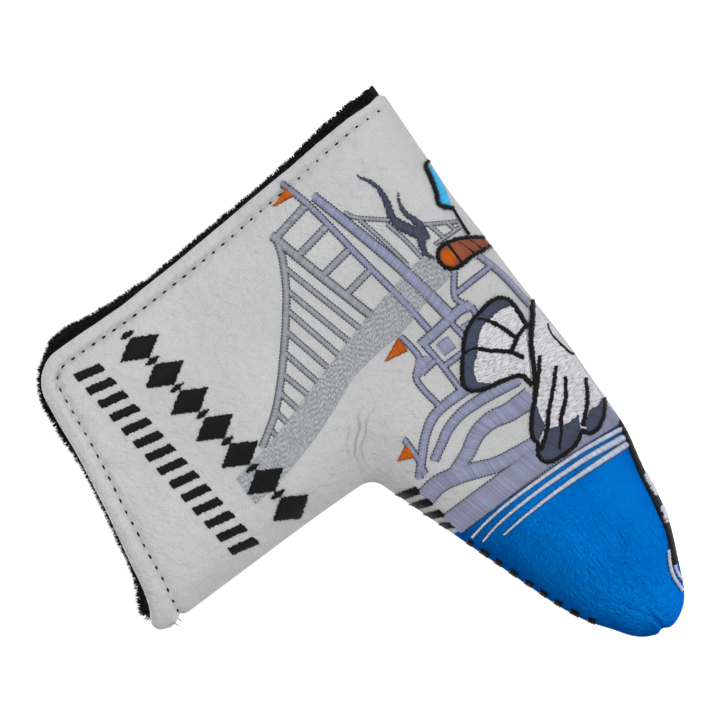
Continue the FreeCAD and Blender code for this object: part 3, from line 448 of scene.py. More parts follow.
def open_outline(inset, out):
    """From the sole up the slit, round the corner and along the mouth to the neck's corner."""
    slit_x = HEEL_X - HEM_R + out
    heel_r = CORNER_R + out
    step = STITCH_PITCH / 4
    path = [(slit_x, inset + d) for d in EDGE_RINGS[1:]]

    def under_mouth(x, drop):
        """A point at x, drop inside the mouth's edge."""
        return (x, float(mouth_z(np.array(x))) - HEM_R + out - drop / MOUTH_COS)

    path += line_points((slit_x, inset + EDGE_RINGS[-1]), under_mouth(slit_x, heel_r), step)[1:]
    turns = max(4, int(math.pi / 2 * heel_r / step))
    for n in range(1, turns + 1):
        angle = math.pi / 2 * n / turns
        path.append(under_mouth(slit_x - heel_r * (1 - math.cos(angle)), heel_r * (1 - math.sin(angle))))
    start_x, end_x = path[-1][0], NECK_X + inset + NECK_CORNER_R
    count = int((start_x - end_x) / step)
    for n in range(1, count + 1):
        path.append(under_mouth(start_x + (end_x - start_x) * n / count, 0))
    turns = int(math.pi / 2 * NECK_CORNER_R / step)
    for n in range(1, turns):
        angle = math.pi / 2 * n / turns
        x = NECK_X + inset + NECK_CORNER_R * (1 - math.sin(angle))
        path.append(under_mouth(x, NECK_CORNER_R * (1 - math.cos(angle))))
    return path


def curve(points, step=0.4):
    """A smooth line through the points (Catmull-Rom), with points about step apart."""
    ends = [points[0]] + list(points) + [points[-1]]
    line = []
    for p, q, r, s in zip(ends, ends[1:], ends[2:], ends[3:]):
        count = max(2, int(math.dist(q, r) / step))
        for n in range(count):
            t = n / count
            line.append(tuple(0.5 * (2 * b + (c - a) * t + (2 * a - 5 * b + 4 * c - d) * t ** 2
                                     + (3 * b - a - 3 * c + d) * t ** 3) for a, b, c, d in zip(p, q, r, s)))
    return line + [points[-1]]


def inward_normals(loop):
    """Unit normals to the left of a closed loop's direction."""
    p = np.array(loop)
    d = np.roll(p, -1, axis=0) - np.roll(p, 1, axis=0)
    n = np.stack([-d[:, 1], d[:, 0]], axis=1)
    return n / np.linalg.norm(n, axis=1, keepdims=True)


def cap_line(z):
    """The x of the line where the toe leather is joined on."""
    return CAP_LOW[0] + (CAP_HIGH[0] - CAP_LOW[0]) * (z - CAP_LOW[1]) / (CAP_HIGH[1] - CAP_LOW[1])


def sheet_plan(inset, out, split=False):
    """A triangulated plan of a panel: points (x, z), triangles, and the open edge in order."""
    sewn = sewn_outline(inset, out)
    opened = open_outline(inset, out)
    loop = sewn + opened
    normals = inward_normals(loop)
    points = list(loop)

    def keep(candidates, test):
        """Adds the candidates whose distances from the sewn edges and the open edge pass the test."""
        c = np.array(candidates)
        inner = np.minimum(sole_distance(c[:, 0], c[:, 1]), seam_distance(c[:, 0], c[:, 1])) - inset
        edge = open_distance(c[:, 0], c[:, 1], out)
        good = test(inner, edge)
        if split:
            good &= np.abs(c[:, 0] - cap_line(c[:, 1])) > 0.4
        points.extend(map(tuple, c[good]))

    sewn_p, sewn_n = np.array(sewn), normals[:len(sewn)]
    for d in EDGE_RINGS[1:]:
        keep(sewn_p + d * sewn_n, lambda inner, edge, d=d: (inner > 0.96 * d) & (edge > HEM_RINGS[-1] + 0.5))
    open_p, open_n = np.array(opened), normals[len(sewn):]
    for d in HEM_RINGS:
        keep(open_p + d * open_n, lambda inner, edge, d=d: (edge > 0.95 * d) & (inner > 0.08))
    rows = []
    if split:
        for line, _, wide in CREASES:
            fine = np.array(curve(line, CREASE_STEP))
            sideways = inward_normals(fine)
            for step in (-3, -2, -1, -0.4, 0.4, 1, 2, 3):
                rows.extend(map(tuple, (fine + step * wide * sideways)[1:-1]))
        keep(rows, lambda inner, edge: (inner > 0.5) & (edge > HEM_RINGS[-1] + 0.6))
    rows = []
    for n, z in enumerate(np.arange(0, MOUTH_NECK_Z + out, GRID_STEP * math.sqrt(3) / 2)):
        rows.extend((x, z) for x in np.arange(TIP_X + (n % 2) * GRID_STEP / 2, HEEL_X + out, GRID_STEP))
    keep(rows, lambda inner, edge: (inner > EDGE_RINGS[-1] + 0.6) & (edge > HEM_RINGS[-1] + 0.6))
    edges = []
    if split:
        first = len(points)
        heights = CAP_LOW[1] - 1 + (CAP_HIGH[1] + 2) * np.arange(CAP_SPANS + 2) / CAP_SPANS
        points.extend((cap_line(z), z) for z in heights)
        edges = [(first + n, first + n + 1) for n in range(len(heights) - 1)]
    found = delaunay_2d_cdt([Vector(p) for p in points], edges, [list(range(len(loop)))], 1, 1e-4)
    verts = np.array([(v.x, v.y) for v in found[0]])
    new = {}
    for index, sources in enumerate(found[3]):
        for source in sources:
            new[source] = index
    edge_loop = [new[len(sewn) - 1]] + [new[len(sewn) + n] for n in range(len(opened))] + [new[0]]
    return verts, [tuple(f) for f in found[2]], edge_loop


# ------------------------------------------------------------------ pieces and materials
FOLD = {joint["child"]: joint for joint in frame["joints"]}


def bend(piece, flap):
    """Bakes a piece's placement into its mesh; the direction across the flap's fold is worked out but not
    used.
    """
    joint = FOLD[flap]
    along = Vector(joint["axis"])
    across = Vector((-along.z, 0, along.x)).normalized()
    if across.x < 0:
        across = -across
    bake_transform(piece)


def new_piece(name, points, faces, material, tone_and_shade=None):
    """A smooth mesh from points in millimetres, with a number for each point that its material reads: random
    tone with painted shade.
    """
    mesh = bpy.data.meshes.new(name)
    mesh.from_pydata((np.asarray(points) * MM).tolist(), [], faces)
    if tone_and_shade is not None:
        attribute = mesh.attributes.new("tone_and_shade", "FLOAT", "POINT")
        attribute.data.foreach_set("value", np.asarray(tone_and_shade, np.float32))
    mesh.validate()
    mesh.polygons.foreach_set("use_smooth", [True] * len(mesh.polygons))
    mesh.materials.append(material)
    piece = bpy.data.objects.new(name, mesh)
    bpy.context.scene.collection.objects.link(piece)
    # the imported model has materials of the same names, so Blender adds a number to these
    return piece


def thicken(piece, thickness):
    """Gives a sheet its thickness, inwards from the face that shows."""
    solid = piece.modifiers.new("thickness", "SOLIDIFY")
    solid.thickness = thickness * MM
    solid.offset = -1
    graph = bpy.context.evaluated_depsgraph_get()
    mesh = bpy.data.meshes.new_from_object(piece.evaluated_get(graph))
    piece.modifiers.clear()
    piece.data = mesh


class Material:
    """A principled material, with short calls for the nodes that the surfaces share."""

    def __init__(self, name, colour, roughness, **settings):
        self.material = bpy.data.materials.new(name)
        self.material.use_nodes = True
        self.tree = self.material.node_tree
        self.shader = self.tree.nodes["Principled BSDF"]
        self.shader.inputs["Base Color"].default_value = (*colour, 1)
        self.shader.inputs["Roughness"].default_value = roughness
        for socket, value in settings.items():
            self.shader.inputs[socket.replace("_", " ")].default_value = value
        self.place = self.tree.nodes.new("ShaderNodeTexCoord").outputs["Object"]

    def node(self, kind, inputs=None, **settings):
        made = self.tree.nodes.new("ShaderNode" + kind)
        for key, value in settings.items():
            setattr(made, key, value)
        for key, value in (inputs or {}).items():
            if isinstance(value, bpy.types.NodeSocket):
                self.tree.links.new(value, made.inputs[key])
            else:
                made.inputs[key].default_value = value
        return made

    def noise(self, size, detail=3.0, rough=0.55):
        """Cloudy noise with features about size millimetres across."""
        return self.node("TexNoise", {"Vector": self.place, "Scale": 1 / (size * MM), "Detail": detail,
                                      "Roughness": rough}).outputs["Fac"]

    def cells(self, size, feature="F1", randomness=1.0):
        """Distance in a pattern of cells about size millimetres across."""
        made = self.node("TexVoronoi", {"Vector": self.place, "Scale": 1 / (size * MM),
                                        "Randomness": randomness}, feature=feature)
        return made.outputs["Distance"]

    def maths(self, operation, a, b=0.0, c=0.0):
        return self.node("Math", {0: a, 1: b, 2: c}, operation=operation).outputs[0]

    def ramp(self, value, low, high, out_low=0.0, out_high=1.0):
        return self.node("MapRange", {"Value": value, "From Min": low, "From Max": high,
                                      "To Min": out_low, "To Max": out_high}).outputs["Result"]

    def mix(self, share, a, b):
        made = self.node("Mix", data_type="RGBA")
        for socket, value in ((made.inputs[0], share), (made.inputs[6], a), (made.inputs[7], b)):
            if isinstance(value, bpy.types.NodeSocket):
                self.tree.links.new(value, socket)
            else:
                socket.default_value = value if isinstance(value, float) else (*value, 1)
        return made.outputs[2]

    def bump(self, height, depth, base=None, strength=1.0):
        """Bump of a height between 0 and 1, depth millimetres deep."""
        inputs = {"Height": height, "Distance": depth * MM, "Strength": strength}
        if base is not None:
            inputs["Normal"] = base
        return self.node("Bump", inputs).outputs["Normal"]

    def use(self, socket, value):
        self.tree.links.new(value, self.shader.inputs[socket])


def white_leather():
    made = Material("white_leather", (0.42, 0.42, 0.425), 0.46, Specular_IOR_Level=0.4)
    cloud = made.noise(22, 4)
    fine = made.cells(0.8, "DISTANCE_TO_EDGE")
    pores = made.noise(0.4, 2)
    folds = made.noise(3.2, 4, 0.52)
    crinkle = made.cells(1.7, "SMOOTH_F1")
    made.use("Base Color", made.mix(made.ramp(cloud, 0.35, 0.7), (0.40, 0.40, 0.405), (0.44, 0.44, 0.442)))
    made.use("Roughness", made.ramp(folds, 0.3, 0.7, 0.38, 0.52))
    first = made.bump(made.ramp(fine, 0.0, 0.22), 0.07)
    second = made.bump(folds, 1.35, first, 0.85)
    third = made.bump(made.maths("MULTIPLY", crinkle, made.ramp(cloud, 0.45, 0.6)), 0.2, second, 0.7)
    made.use("Normal", made.bump(pores, 0.05, third))
    return made.material


def blue_leather():
    made = Material("blue_leather", (0.0, 0.12, 0.47), 0.4, Metallic=0.97, Specular_Tint=(0.1, 0.4, 0.9, 1))
    cloud = made.noise(16, 4)
    pebble = made.cells(1.0, "DISTANCE_TO_EDGE")
    wrinkle = made.noise(2.6, 6, 0.62)
    glitter = made.noise(0.14, 1)
    drawn = made.node("Mapping", {"Vector": made.place, "Rotation": (0, 0.25, 0), "Scale": (0.32, 1, 1)})
    pleats = made.node("TexNoise", {"Vector": drawn.outputs["Vector"], "Scale": 1 / (0.9 * MM), "Detail": 3.0,
                                    "Roughness": 0.5, "Distortion": 0.4}).outputs["Fac"]
    from_tip = made.node("VectorMath", {0: made.place, 1: (-0.085, -0.016, 0.02)}, operation="DISTANCE")
    pleated = made.maths("MULTIPLY", pleats, made.ramp(from_tip.outputs["Value"], 0.006, 0.024, 1.0, 0.14))
    base = made.mix(made.ramp(cloud, 0.3, 0.7), (0.0, 0.103, 0.40), (0.0, 0.144, 0.49))
    made.use("Base Color", made.mix(made.ramp(glitter, 0.5, 0.8), base, (0.0, 0.21, 0.68)))
    made.use("Roughness", made.ramp(wrinkle, 0.3, 0.7, 0.32, 0.48))
    first = made.bump(made.ramp(pebble, 0.0, 0.25), 0.05)
    second = made.bump(wrinkle, 0.55, first, 0.75)
    third = made.bump(pleated, 0.95, second, 0.85)
    made.use("Normal", made.bump(glitter, 0.012, third))
    return made.material


def thread(name, colour, roughness=0.42, metallic=0.0):
    """Embroidery thread: each strand a little lighter or darker at random, and painted shade at its ends
    where it dives into the leather.
    """
    pale = min(colour) > 0.2
    made = Material(name, colour, roughness, Metallic=metallic, Sheen_Weight=0.12 if pale else 0.0,
                    Specular_IOR_Level=0.32 if pale else 0.14)
    tone_and_shade = made.node("Attribute", attribute_name="tone_and_shade").outputs["Fac"]
    twist = made.noise(0.22, 2)
    # painted shade: strand ends darken towards this colour where the thread dives into the leather, and pile
    # made with this look darkens the same way at its root
    dark = tuple(0.22 * c for c in colour)
    light = tuple(min(1.0, 1.12 * c) for c in colour)
    body = made.mix(made.ramp(twist, 0.35, 0.65), tuple(0.86 * c for c in colour), light)
    made.use("Base Color", made.mix(tone_and_shade, dark, body))
    made.use("Normal", made.bump(twist, 0.06))
    return made.material


def plush():
    made = Material("plush", (0.008, 0.008, 0.009), 0.85, Sheen_Weight=0.06, Specular_IOR_Level=0.2)
    tuft = made.noise(1.3, 4)
    made.use("Base Color", made.mix(made.ramp(tuft, 0.35, 0.7), (0.003, 0.003, 0.0035), (0.01, 0.01, 0.012)))
    made.use("Normal", made.bump(made.noise(0.5, 3), 0.3, made.bump(tuft, 0.9)))
    return made.material


def foam():
    made = Material("foam", (0.66, 0.64, 0.56), 0.85)
    cells = made.cells(0.5)
    made.use("Base Color", made.mix(made.ramp(cells, 0.1, 0.6), (0.56, 0.54, 0.46), (0.7, 0.68, 0.6)))
    made.use("Normal", made.bump(cells, 0.15))
    return made.material


def magnet_steel():
    made = Material("magnet_steel", (0.62, 0.62, 0.63), 0.22, Metallic=1.0)
    scuff = made.noise(0.8, 5)
    made.use("Roughness", made.ramp(scuff, 0.3, 0.7, 0.16, 0.34))
    made.use("Normal", made.bump(scuff, 0.02))
    return made.material


# ------------------------------------------------------------------ leather, foam and lining
def rolled_hem(points, normals, loop, side):
    """Rings that turn the open edge over a round hem and back inside; returns points for each ring."""
    p, n = points[loop], normals[loop]
    run = np.gradient(p, axis=0)
    out = np.cross(run, n) * -side
    out /= np.linalg.norm(out, axis=1, keepdims=True) + 1e-9
    rings = []
    for step in range(1, ROLL_STEPS + 1):
        angle = math.pi * step / ROLL_STEPS
        rings.append(p + out * HEM_R * math.sin(angle) - n * HEM_R * (1 - math.cos(angle)))
    for reach in (TURN_IN / 3, TURN_IN * 2 / 3, TURN_IN):
        rings.append(p - out * reach - n * 2 * HEM_R)
    for ring in rings:
        ring[:, 1] = side * np.maximum(side * ring[:, 1], 0)
    return rings


def wound(face, side):
    """A face's corners in the order that makes its normal point out of the cover."""
    return tuple(face) if side < 0 else tuple(reversed(face))


def leather_pieces(side, name, nodes, flap):
    """One side's white panel with its rolled hem, and the blue toe joined on to it."""
    verts, faces, loop = sheet_plan(0.0, 0.0, split=True)
    points, normals = lift(verts[:, 0], verts[:, 1], side)
    middle = np.array([verts[list(f)].mean(axis=0) for f in faces])
    is_white = middle[:, 0] > cap_line(middle[:, 1])
    rings = rolled_hem(points, normals, loop, side)
    white = [wound(f, side) for f, w in zip(faces, is_white) if w]
    blue = [wound(f, side) for f, w in zip(faces, is_white) if not w]
    all_points = np.vstack([points] + rings)
    last = list(loop)
    for number in range(len(rings)):
        ring = [len(points) + number * len(loop) + n for n in range(len(loop))]
        for a, b, c, d in zip(last[1:], last, ring, ring[1:]):
            white.append(wound((a, b, c, d), side))
        last = ring
    pieces = []
    for label, chosen, look in (("leather", white, LOOKS["white"]), ("toe", blue, LOOKS["blue"])):
        used = sorted({v for f in chosen for v in f})
        index = {v: n for n, v in enumerate(used)}
        corners = [tuple(index[v] for v in f) for f in chosen]
        piece = new_piece(f"{name}_{label}", all_points[used], corners, look)
        thicken(piece, LEATHER_THICK)
        pieces.append(piece)
    panel, toe = pieces
    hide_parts(*nodes)
    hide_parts("toe_leather")
    bend(panel, flap)
    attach(toe, "cover")


def proud(points):
    """Lets the back lining stand out past the leather, most at the slit's foot and top corner."""
    x, z = points[:, 0], points[:, 2]
    near_slit = np.clip((x - PROUD_FROM_X) / (HEEL_X - PROUD_FROM_X), 0, 1) ** 2
    low = np.clip(1 - (z - LINING_INSET) / PROUD_FOOT_Z, 0, 1)
    at_foot = np.clip((x - PROUD_FOOT_X) / (HEEL_X - PROUD_FOOT_X), 0, 1) * low
    near_mouth = np.clip(1 - (mouth_z(x) - z) / PROUD_MOUTH_Z, 0, 1) ** 2
    points[:, 0] += near_slit * (sway(z, PLUSH_SWAY) + 0.08 * ripple(z, z, 71, 8))
    points[:, 2] -= PROUD_FOOT_DROP * at_foot
    points[:, 2] += near_mouth * (sway(x, MOUTH_SWAY) + 0.15 * ripple(x, x, 72, 9))
    return points


def layer_piece(side, name, inset, out, thickness, look, nodes, flap):
    """One side of the foam or of the lining."""
    verts, faces, _ = sheet_plan(inset, out)
    points, _ = lift(verts[:, 0], verts[:, 1], side, inset)
    if side > 0 and out > 0:
        points = proud(points)
    piece = new_piece(name, points, [wound(f, side) for f in faces], look)
    thicken(piece, thickness)
    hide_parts(*nodes)
    bend(piece, flap)


# ------------------------------------------------------------------ threads
def spaced(line, pitch):
    """Points every pitch along a line, with the direction and the share of the length at each."""
    p = np.array(line, float)
    spans = np.hypot(*np.diff(p, axis=0).T)
    length = np.concatenate([[0], np.cumsum(spans)])
    at = np.linspace(0, length[-1], max(2, int(length[-1] / pitch)))
    soft = max(pitch, 0.5)

    def spot(distance):
        return np.stack([np.interp(distance, length, p[:, 0]), np.interp(distance, length, p[:, 1])], axis=1)

    run = spot(at + soft) - spot(at - soft)
    run /= np.linalg.norm(run, axis=1, keepdims=True) + 1e-9
    return spot(at), run, at / length[-1]


class Stitches:
    """Straight strands on one side of the cover, gathered and then built as one piece."""

    def __init__(self, side=-1, shift=None):
        self.side = side
        self.shift = (FRONT_SHIFT if side < 0 else 0.0) if shift is None else shift
        self.ends = []
        self.rises = []
        self.arches = []
        self.edge_shade_lines = []

    def add(self, a, b, rise, arch):
        self.ends.append((a, b))
        self.rises.append(rise)
        self.arches.append(arch)

    def clipped(self):
        """The strands' ends, each drawn back to the part of the strand that lies on the panel."""
        ends = np.array(self.ends, float)
        ends[..., 0] -= self.shift * np.clip((ends[..., 0] - SHIFT_FROM_X) / SHIFT_SPAN, 0, 1)
        share = np.linspace(0, 1, 15)
        spots = ends[:, None, 0] + (ends[:, 1] - ends[:, 0])[:, None] * share[None, :, None]
        x, z = spots[..., 0], spots[..., 1]
        inside = np.minimum(sole_distance(x, z), seam_distance(x, z)) > EDGE_CLEAR
        first = share[np.argmax(inside, axis=1)]
        last = 1 - share[np.argmax(inside[:, ::-1], axis=1)]
        way = ends[:, 1] - ends[:, 0]
        low, high = ends[:, 0] + way * first[:, None], ends[:, 0] + way * last[:, None]
        good = inside.any(axis=1) & (np.linalg.norm(high - low, axis=1) > 0.2)
        return np.stack([low, high], axis=1)[good], good

    def satin(self, line, width, end_width=None, pitch=0.3, slant=0.25, rise=0.0, arch=0.32, ragged=0.09):
        """A satin column: strands side by side across a line."""
        end_width = width if end_width is None else end_width
        places, run, share = spaced(line, pitch)
        half = (width + (end_width - width) * share[:, None]) / 2 + 0.06
        # both edges of the column, later laid in dark thread as painted shade
        for way in (-1, 1):
            edge = places + way * half * np.stack([-run[:, 1], run[:, 0]], axis=1)
            self.edge_shade_lines += [(a, b, rise) for a, b in zip(edge[::3], edge[2::3])]
        for (x, z), (rx, rz), t in zip(places, run, share):
            w = (width + (end_width - width) * t) / 2
            reach = w + RANDOM.uniform(-ragged, ragged, 2)
            for_x, for_z = rx * slant * w, rz * slant * w
            self.add((x - rz * reach[0] - for_x, z + rx * reach[0] - for_z),
                     (x + rz * reach[1] + for_x, z - rx * reach[1] + for_z), rise, min(arch, 0.2 * w + 0.12))

    def rows(self, outline, angle, pitch):
        """Where parallel rows cross an outline: pairs of points."""
        c, s = math.cos(angle), math.sin(angle)
        p = np.array(outline)
        u, v = p[:, 0] * c + p[:, 1] * s, -p[:, 0] * s + p[:, 1] * c
        found = []
        at = v.min() + pitch / 2
        while at < v.max():
            hits = []
            for n in range(len(p)):
                m = (n + 1) % len(p)
                if (v[n] <= at) != (v[m] <= at):
                    hits.append(u[n] + (u[m] - u[n]) * (at - v[n]) / (v[m] - v[n]))
            hits.sort()
            for a, b in zip(hits[::2], hits[1::2]):
                found.append(((a * c - at * s, a * s + at * c), (b * c - at * s, b * s + at * c)))
            at += pitch
        return found

    def block(self, outline, angle, pitch=0.28, rise=0.0, arch=0.3, ragged=0.12):
        """A shape covered by one strand for each row."""
        for a, b in self.rows(outline, angle, pitch):
            a, b = np.array(a), np.array(b)
            span = np.linalg.norm(b - a)
            if span < 0.25:
                continue
            run = (b - a) / span
            self.add(a - run * RANDOM.uniform(-ragged, ragged), b + run * RANDOM.uniform(-ragged, ragged),
                     rise, min(arch, 0.1 * span + 0.1))

    def fill(self, outline, angle, pitch=0.27, stitch=2.4, rise=0.0, arch=0.07):
        """A shape covered by rows of shorter stitches, staggered like bricks."""
        for number, (a, b) in enumerate(self.rows(outline, angle, pitch)):
            a, b = np.array(a), np.array(b)
            span = np.linalg.norm(b - a)
            if span < 0.3:
                continue
            run = (b - a) / span
            start = -((number * 0.38 + RANDOM.uniform(0, 0.24)) % 1) * stitch
            while start < span:
                long = stitch * RANDOM.uniform(0.8, 1.2)
                low, high = max(start, 0) + 0.02, min(start + long, span) - 0.02
                if high - low > 0.25:
                    self.add(a + run * low, a + run * high, rise + RANDOM.uniform(0, 0.05), arch)
                start += long

    def build(self, name, look, nodes, width=0.4, height=0.22, flap=None, dip=0.12, dark_ends=0.9,
              bordered=False):
        """Makes the strands into one piece; the edge flag adds a thin dark thread along the columns' edges as
        painted shade where the strands dive.
        """
        if bordered:
            painted_edge_shade = Stitches(self.side, self.shift)
            for a, b, rise in self.edge_shade_lines:
                painted_edge_shade.add(a, b, rise + 0.02, 0.05)
            painted_edge_shade.build(name + "_painted_edge_shade", LOOKS["edge_shade"], nodes, 0.26, 0.16, flap, 0.03, 0.2)
        ends, good = self.clipped()
        rises, arches = np.array(self.rises)[good], np.array(self.arches)[good]
        count = len(ends)
        way = ends[:, 1] - ends[:, 0]
        turn = np.minimum(0.25, END_LENGTH / np.linalg.norm(way, axis=1))
        share = np.stack([0 * turn, turn, 0 * turn + 0.5, 1 - turn, 0 * turn + 1], axis=1)
        spots = ends[:, None, 0] + way[:, None] * share[..., None]
        base, normal = lift(spots[..., 0].ravel(), spots[..., 1].ravel(), self.side)
        base = base.reshape(count, 5, 3)
        normal = normal.reshape(count, 5, 3)
        hump = np.array([0, 0.8, 1, 0.8, 0])
        rise = rises[:, None] + arches[:, None] * hump[None] - dip * (1 - hump[None])
        run = np.gradient(base, axis=1)
        run /= np.linalg.norm(run, axis=2, keepdims=True) + 1e-9
        across = np.cross(normal, run)
        taper = 0.6 + 0.4 * np.minimum(1, hump * 1.6)
        rings = []
        for sideways, up in ACROSS:
            rings.append(base + across * (sideways * width * taper)[None, :, None]
                         + normal * (rise + up * height * taper[None])[..., None])
        points = np.stack(rings, axis=2)
        wide = len(ACROSS)
        own = RANDOM.uniform(0.6, 1.0, count)
        # painted shade: each strand darkens towards both ends, where it dives into the leather; own is its
        # random tone
        light = np.array([1 - dark_ends, 1 - 0.2 * dark_ends, 1, 1 - 0.2 * dark_ends, 1 - dark_ends])
        tone_and_shade = own[:, None, None] * light[None, :, None] * np.ones((1, 1, wide))
        step = np.arange(count)[:, None, None] * 5 * wide
        along = np.arange(4)[None, :, None] * wide
        over = np.arange(wide - 1)[None, None, :]
        a = (step + along + over).ravel()
        quads = np.stack([a, a + 1, a + 1 + wide, a + wide], axis=1)
        if self.side > 0:
            quads = quads[:, ::-1]
        piece = new_piece(name, points.reshape(-1, 3), quads.tolist(), look, tone_and_shade.ravel())
        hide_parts(*nodes)
        if flap:
            bend(piece, flap)
        else:
            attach(piece, "cover")


# ------------------------------------------------------------------ plush
# how far a strand of pile may bend aside, as a share of its length
CURL = 0.35


def spikes(name, base, way, look, flap, length, seed, stray=0.28):
    """Fur: one tapered strand from each base point, in millimetres, along about its own way."""
    rng = np.random.default_rng(seed)
    way = way + rng.normal(0, stray, way.shape)
    way /= np.linalg.norm(way, axis=1, keepdims=True)
    count = len(base)
    helper = rng.normal(0, 1, way.shape)
    side = np.cross(way, helper)
    side /= np.linalg.norm(side, axis=1, keepdims=True)
    other = np.cross(way, side)
    long = np.reshape(length, (-1, 1)) * rng.uniform(0.6, 1.15, (count, 1))
    thick = rng.uniform(0.08, 0.17, (count, 1))
    curl = side * long * rng.uniform(-CURL, CURL, (count, 1))
    curl = curl + other * long * rng.uniform(-CURL, CURL, (count, 1))
    rings = []
    for share, width in ((-0.1, 1.0), (0.5, 0.85)):
        centre = base + way * long * share + curl * max(share, 0) ** 2
        for turn in range(3):
            angle = 2 * math.pi * turn / 3
            rings.append(centre + (side * math.cos(angle) + other * math.sin(angle)) * thick * width)
    tip = base + way * long + curl
    points = np.stack(rings + [tip], axis=1).reshape(-1, 3)
    faces = []
    for n in range(count):
        o = 7 * n
        for turn in range(3):
            nxt = (turn + 1) % 3
            faces.append((o + turn, o + nxt, o + 3 + nxt, o + 3 + turn))
            faces.append((o + 3 + turn, o + 3 + nxt, o + 6))
    # painted shade and sheen: a strand is darkest at its root, deep in the pile, and lightest at its tip
    tone_and_shade = np.tile([0.0, 0.0, 0.0, 0.5, 0.5, 0.5, 1.0], count)
    piece = new_piece(name, points, faces, look, tone_and_shade)
    bend(piece, flap)


def lining_fur(side, name, flap):
    """Pile on the lining's rim and on the band inside it that the mouth and the slit show."""
    rng = np.random.default_rng(31 + side)
    out = LINING_OUT[side]
    rim = np.array(open_outline(LINING_INSET, out))
    normals = -inward_normals(sewn_outline(LINING_INSET, out) + open_outline(LINING_INSET, out))[-len(rim):]
    count = int(PILE_DENSITY[side] * len(rim))
    at = rng.uniform(0, len(rim) - 1.001, count)
    low = at.astype(int)
    t = (at - low)[:, None]
    spot = rim[low] * (1 - t) + rim[low + 1] * t
    outward = normals[low]
    inside = rng.uniform(0, 1, count) ** 1.7 * PILE_BAND
    plan = spot - outward * inside[:, None]
    inner_face = rng.uniform(0, 1, count) < PILE_INSIDE
    point, normal = lift(plan[:, 0], plan[:, 1], side, LINING_INSET)
    point = point - normal * np.where(inner_face, LINING_THICK, 0.0)[:, None]
    if side > 0:
        point = proud(point)
    rim_share = np.clip(1 - inside / 2.0, 0, 1)[:, None]
    outward3 = np.stack([outward[:, 0], np.zeros(count), outward[:, 1]], axis=1)
    into = np.where(inner_face[:, None], -normal, normal * 0.4)
    way = outward3 * (0.2 + rim_share) + into * (1.15 - 0.75 * rim_share)
    on_mouth = np.clip((outward[:, 1] - 0.5) / 0.4, 0, 1)
    near_neck = bump_at(plan[:, 0], -14, 6)
    length = 0.95 + on_mouth * (0.4 + 0.5 * near_neck)
    good = inner_face | (inside < max(out - HEM_R, 0.4))
    spikes(name, point[good], way[good], LOOKS["fur"], flap, length[good], 47 + side)


def fur_look():
    made = Material("plush_pile", (0.01, 0.01, 0.012), 0.6, Specular_IOR_Level=0.2)
    tone_and_shade = made.node("Attribute", attribute_name="tone_and_shade").outputs["Fac"]
    # painted shade and sheen: dark at the pile's roots, lighter at the strands' tips
    made.use("Base Color", made.mix(tone_and_shade, (0.002, 0.002, 0.0025), (0.014, 0.014, 0.016)))
    return made.material


LOOKS = {
    "white": white_leather(),
    "blue": blue_leather(),
    "plush": plush(),
    "fur": fur_look(),
    "foam": foam(),
    "magnet": magnet_steel(),
    "black": thread("black_thread", (0.006, 0.005, 0.006), 0.5),
    # painted shade: a dark thread along the satin columns' edges stands for the shade where the strands dive
    # into the leather
    "edge_shade": thread("painted_edge_shade", (0.035, 0.037, 0.05), 0.7),
    "grey": thread("grey_thread", (0.40, 0.415, 0.45)),
    "steel": thread("steel_thread", (0.30, 0.315, 0.355)),
    "lavender": thread("lavender_thread", (0.27, 0.29, 0.42)),
    "white_thread": thread("white_thread", (0.68, 0.67, 0.70)),
    "slate": thread("slate_thread", (0.06, 0.072, 0.115)),
    "orange": thread("orange_thread", (0.52, 0.105, 0.002)),
    "brown": thread("brown_thread", (0.30, 0.085, 0.045)),
    "sky": thread("sky_thread", (0.05, 0.50, 0.85)),
    "hem": thread("hem_thread", (0.50, 0.48, 0.49), 0.5),
    "silver": thread("silver_thread", (0.54, 0.60, 0.74), 0.3, 0.2),
}

for face, title in ((-1, "front"), (1, "back")):
    flap_body = title + "_flap"
    leather_pieces(face, title, ("outer_leather", flap_body + "_leather"), flap_body)
    layer_piece(face, title + "_foam_layer", FOAM_INSET, FOAM_OUT, FOAM_THICK, LOOKS["foam"],
                ("foam_padding", flap_body + "_foam"), flap_body)
    layer_piece(face, title + "_plush_lining", LINING_INSET, LINING_OUT[face], LINING_THICK, LOOKS["plush"],
                ("plush_lining", flap_body + "_lining"), flap_body)
    lining_fur(face, title + "_plush_pile", flap_body)
    magnets = frame["nodes"][flap_body + "_magnets"].data.materials
    magnets.clear()
    magnets.append(LOOKS["magnet"])

# ------------------------------------------------------------------ artwork, in (x, z)
# bridge: the road's two edges, the cable, its hangers, and the truss and pier beside them
BRIDGE_LEFT = [(-9, 95), (-7.4, 84), (-3.8, 70.2), (0.2, 60), (3.2, 52.6), (4.6, 44), (5.6, 33), (8.2, 24),
               (9.8, 13.6)]
BRIDGE_RIGHT = [(18, 15), (18.8, 20.4), (16.8, 31), (15.2, 38), (12.9, 46.6), (10, 56.6), (7.1, 66.4),
                (4.6, 74.4), (2.3, 84), (0.2, 95)]
CABLE = curve([(3.1, 84), (5.8, 79.6), (9, 75.2), (13.8, 70.2), (20, 64.6), (27.5, 58.4), (35, 52.8),
               (42.5, 48.5), (46.2, 47.1)])
HANGERS = [((3.1, 79), (6.3, 79.6)), ((4.4, 74.6), (9, 75.3)), ((5.6, 70), (12.2, 71.2)),
           ((7.5, 65.5), (16, 67.5)), ((8.5, 61.2), (20.4, 63.5)), ((10.3, 56.6), (25.2, 59.7)),
           ((11.2, 52.1), (30, 56)), ((12.5, 47.6), (34.6, 52.8)), ((13.7, 43.1), (39.6, 49.5))]
CHORD = [(14.4, 38.4), (31, 42.7), (48.8, 47.1)]
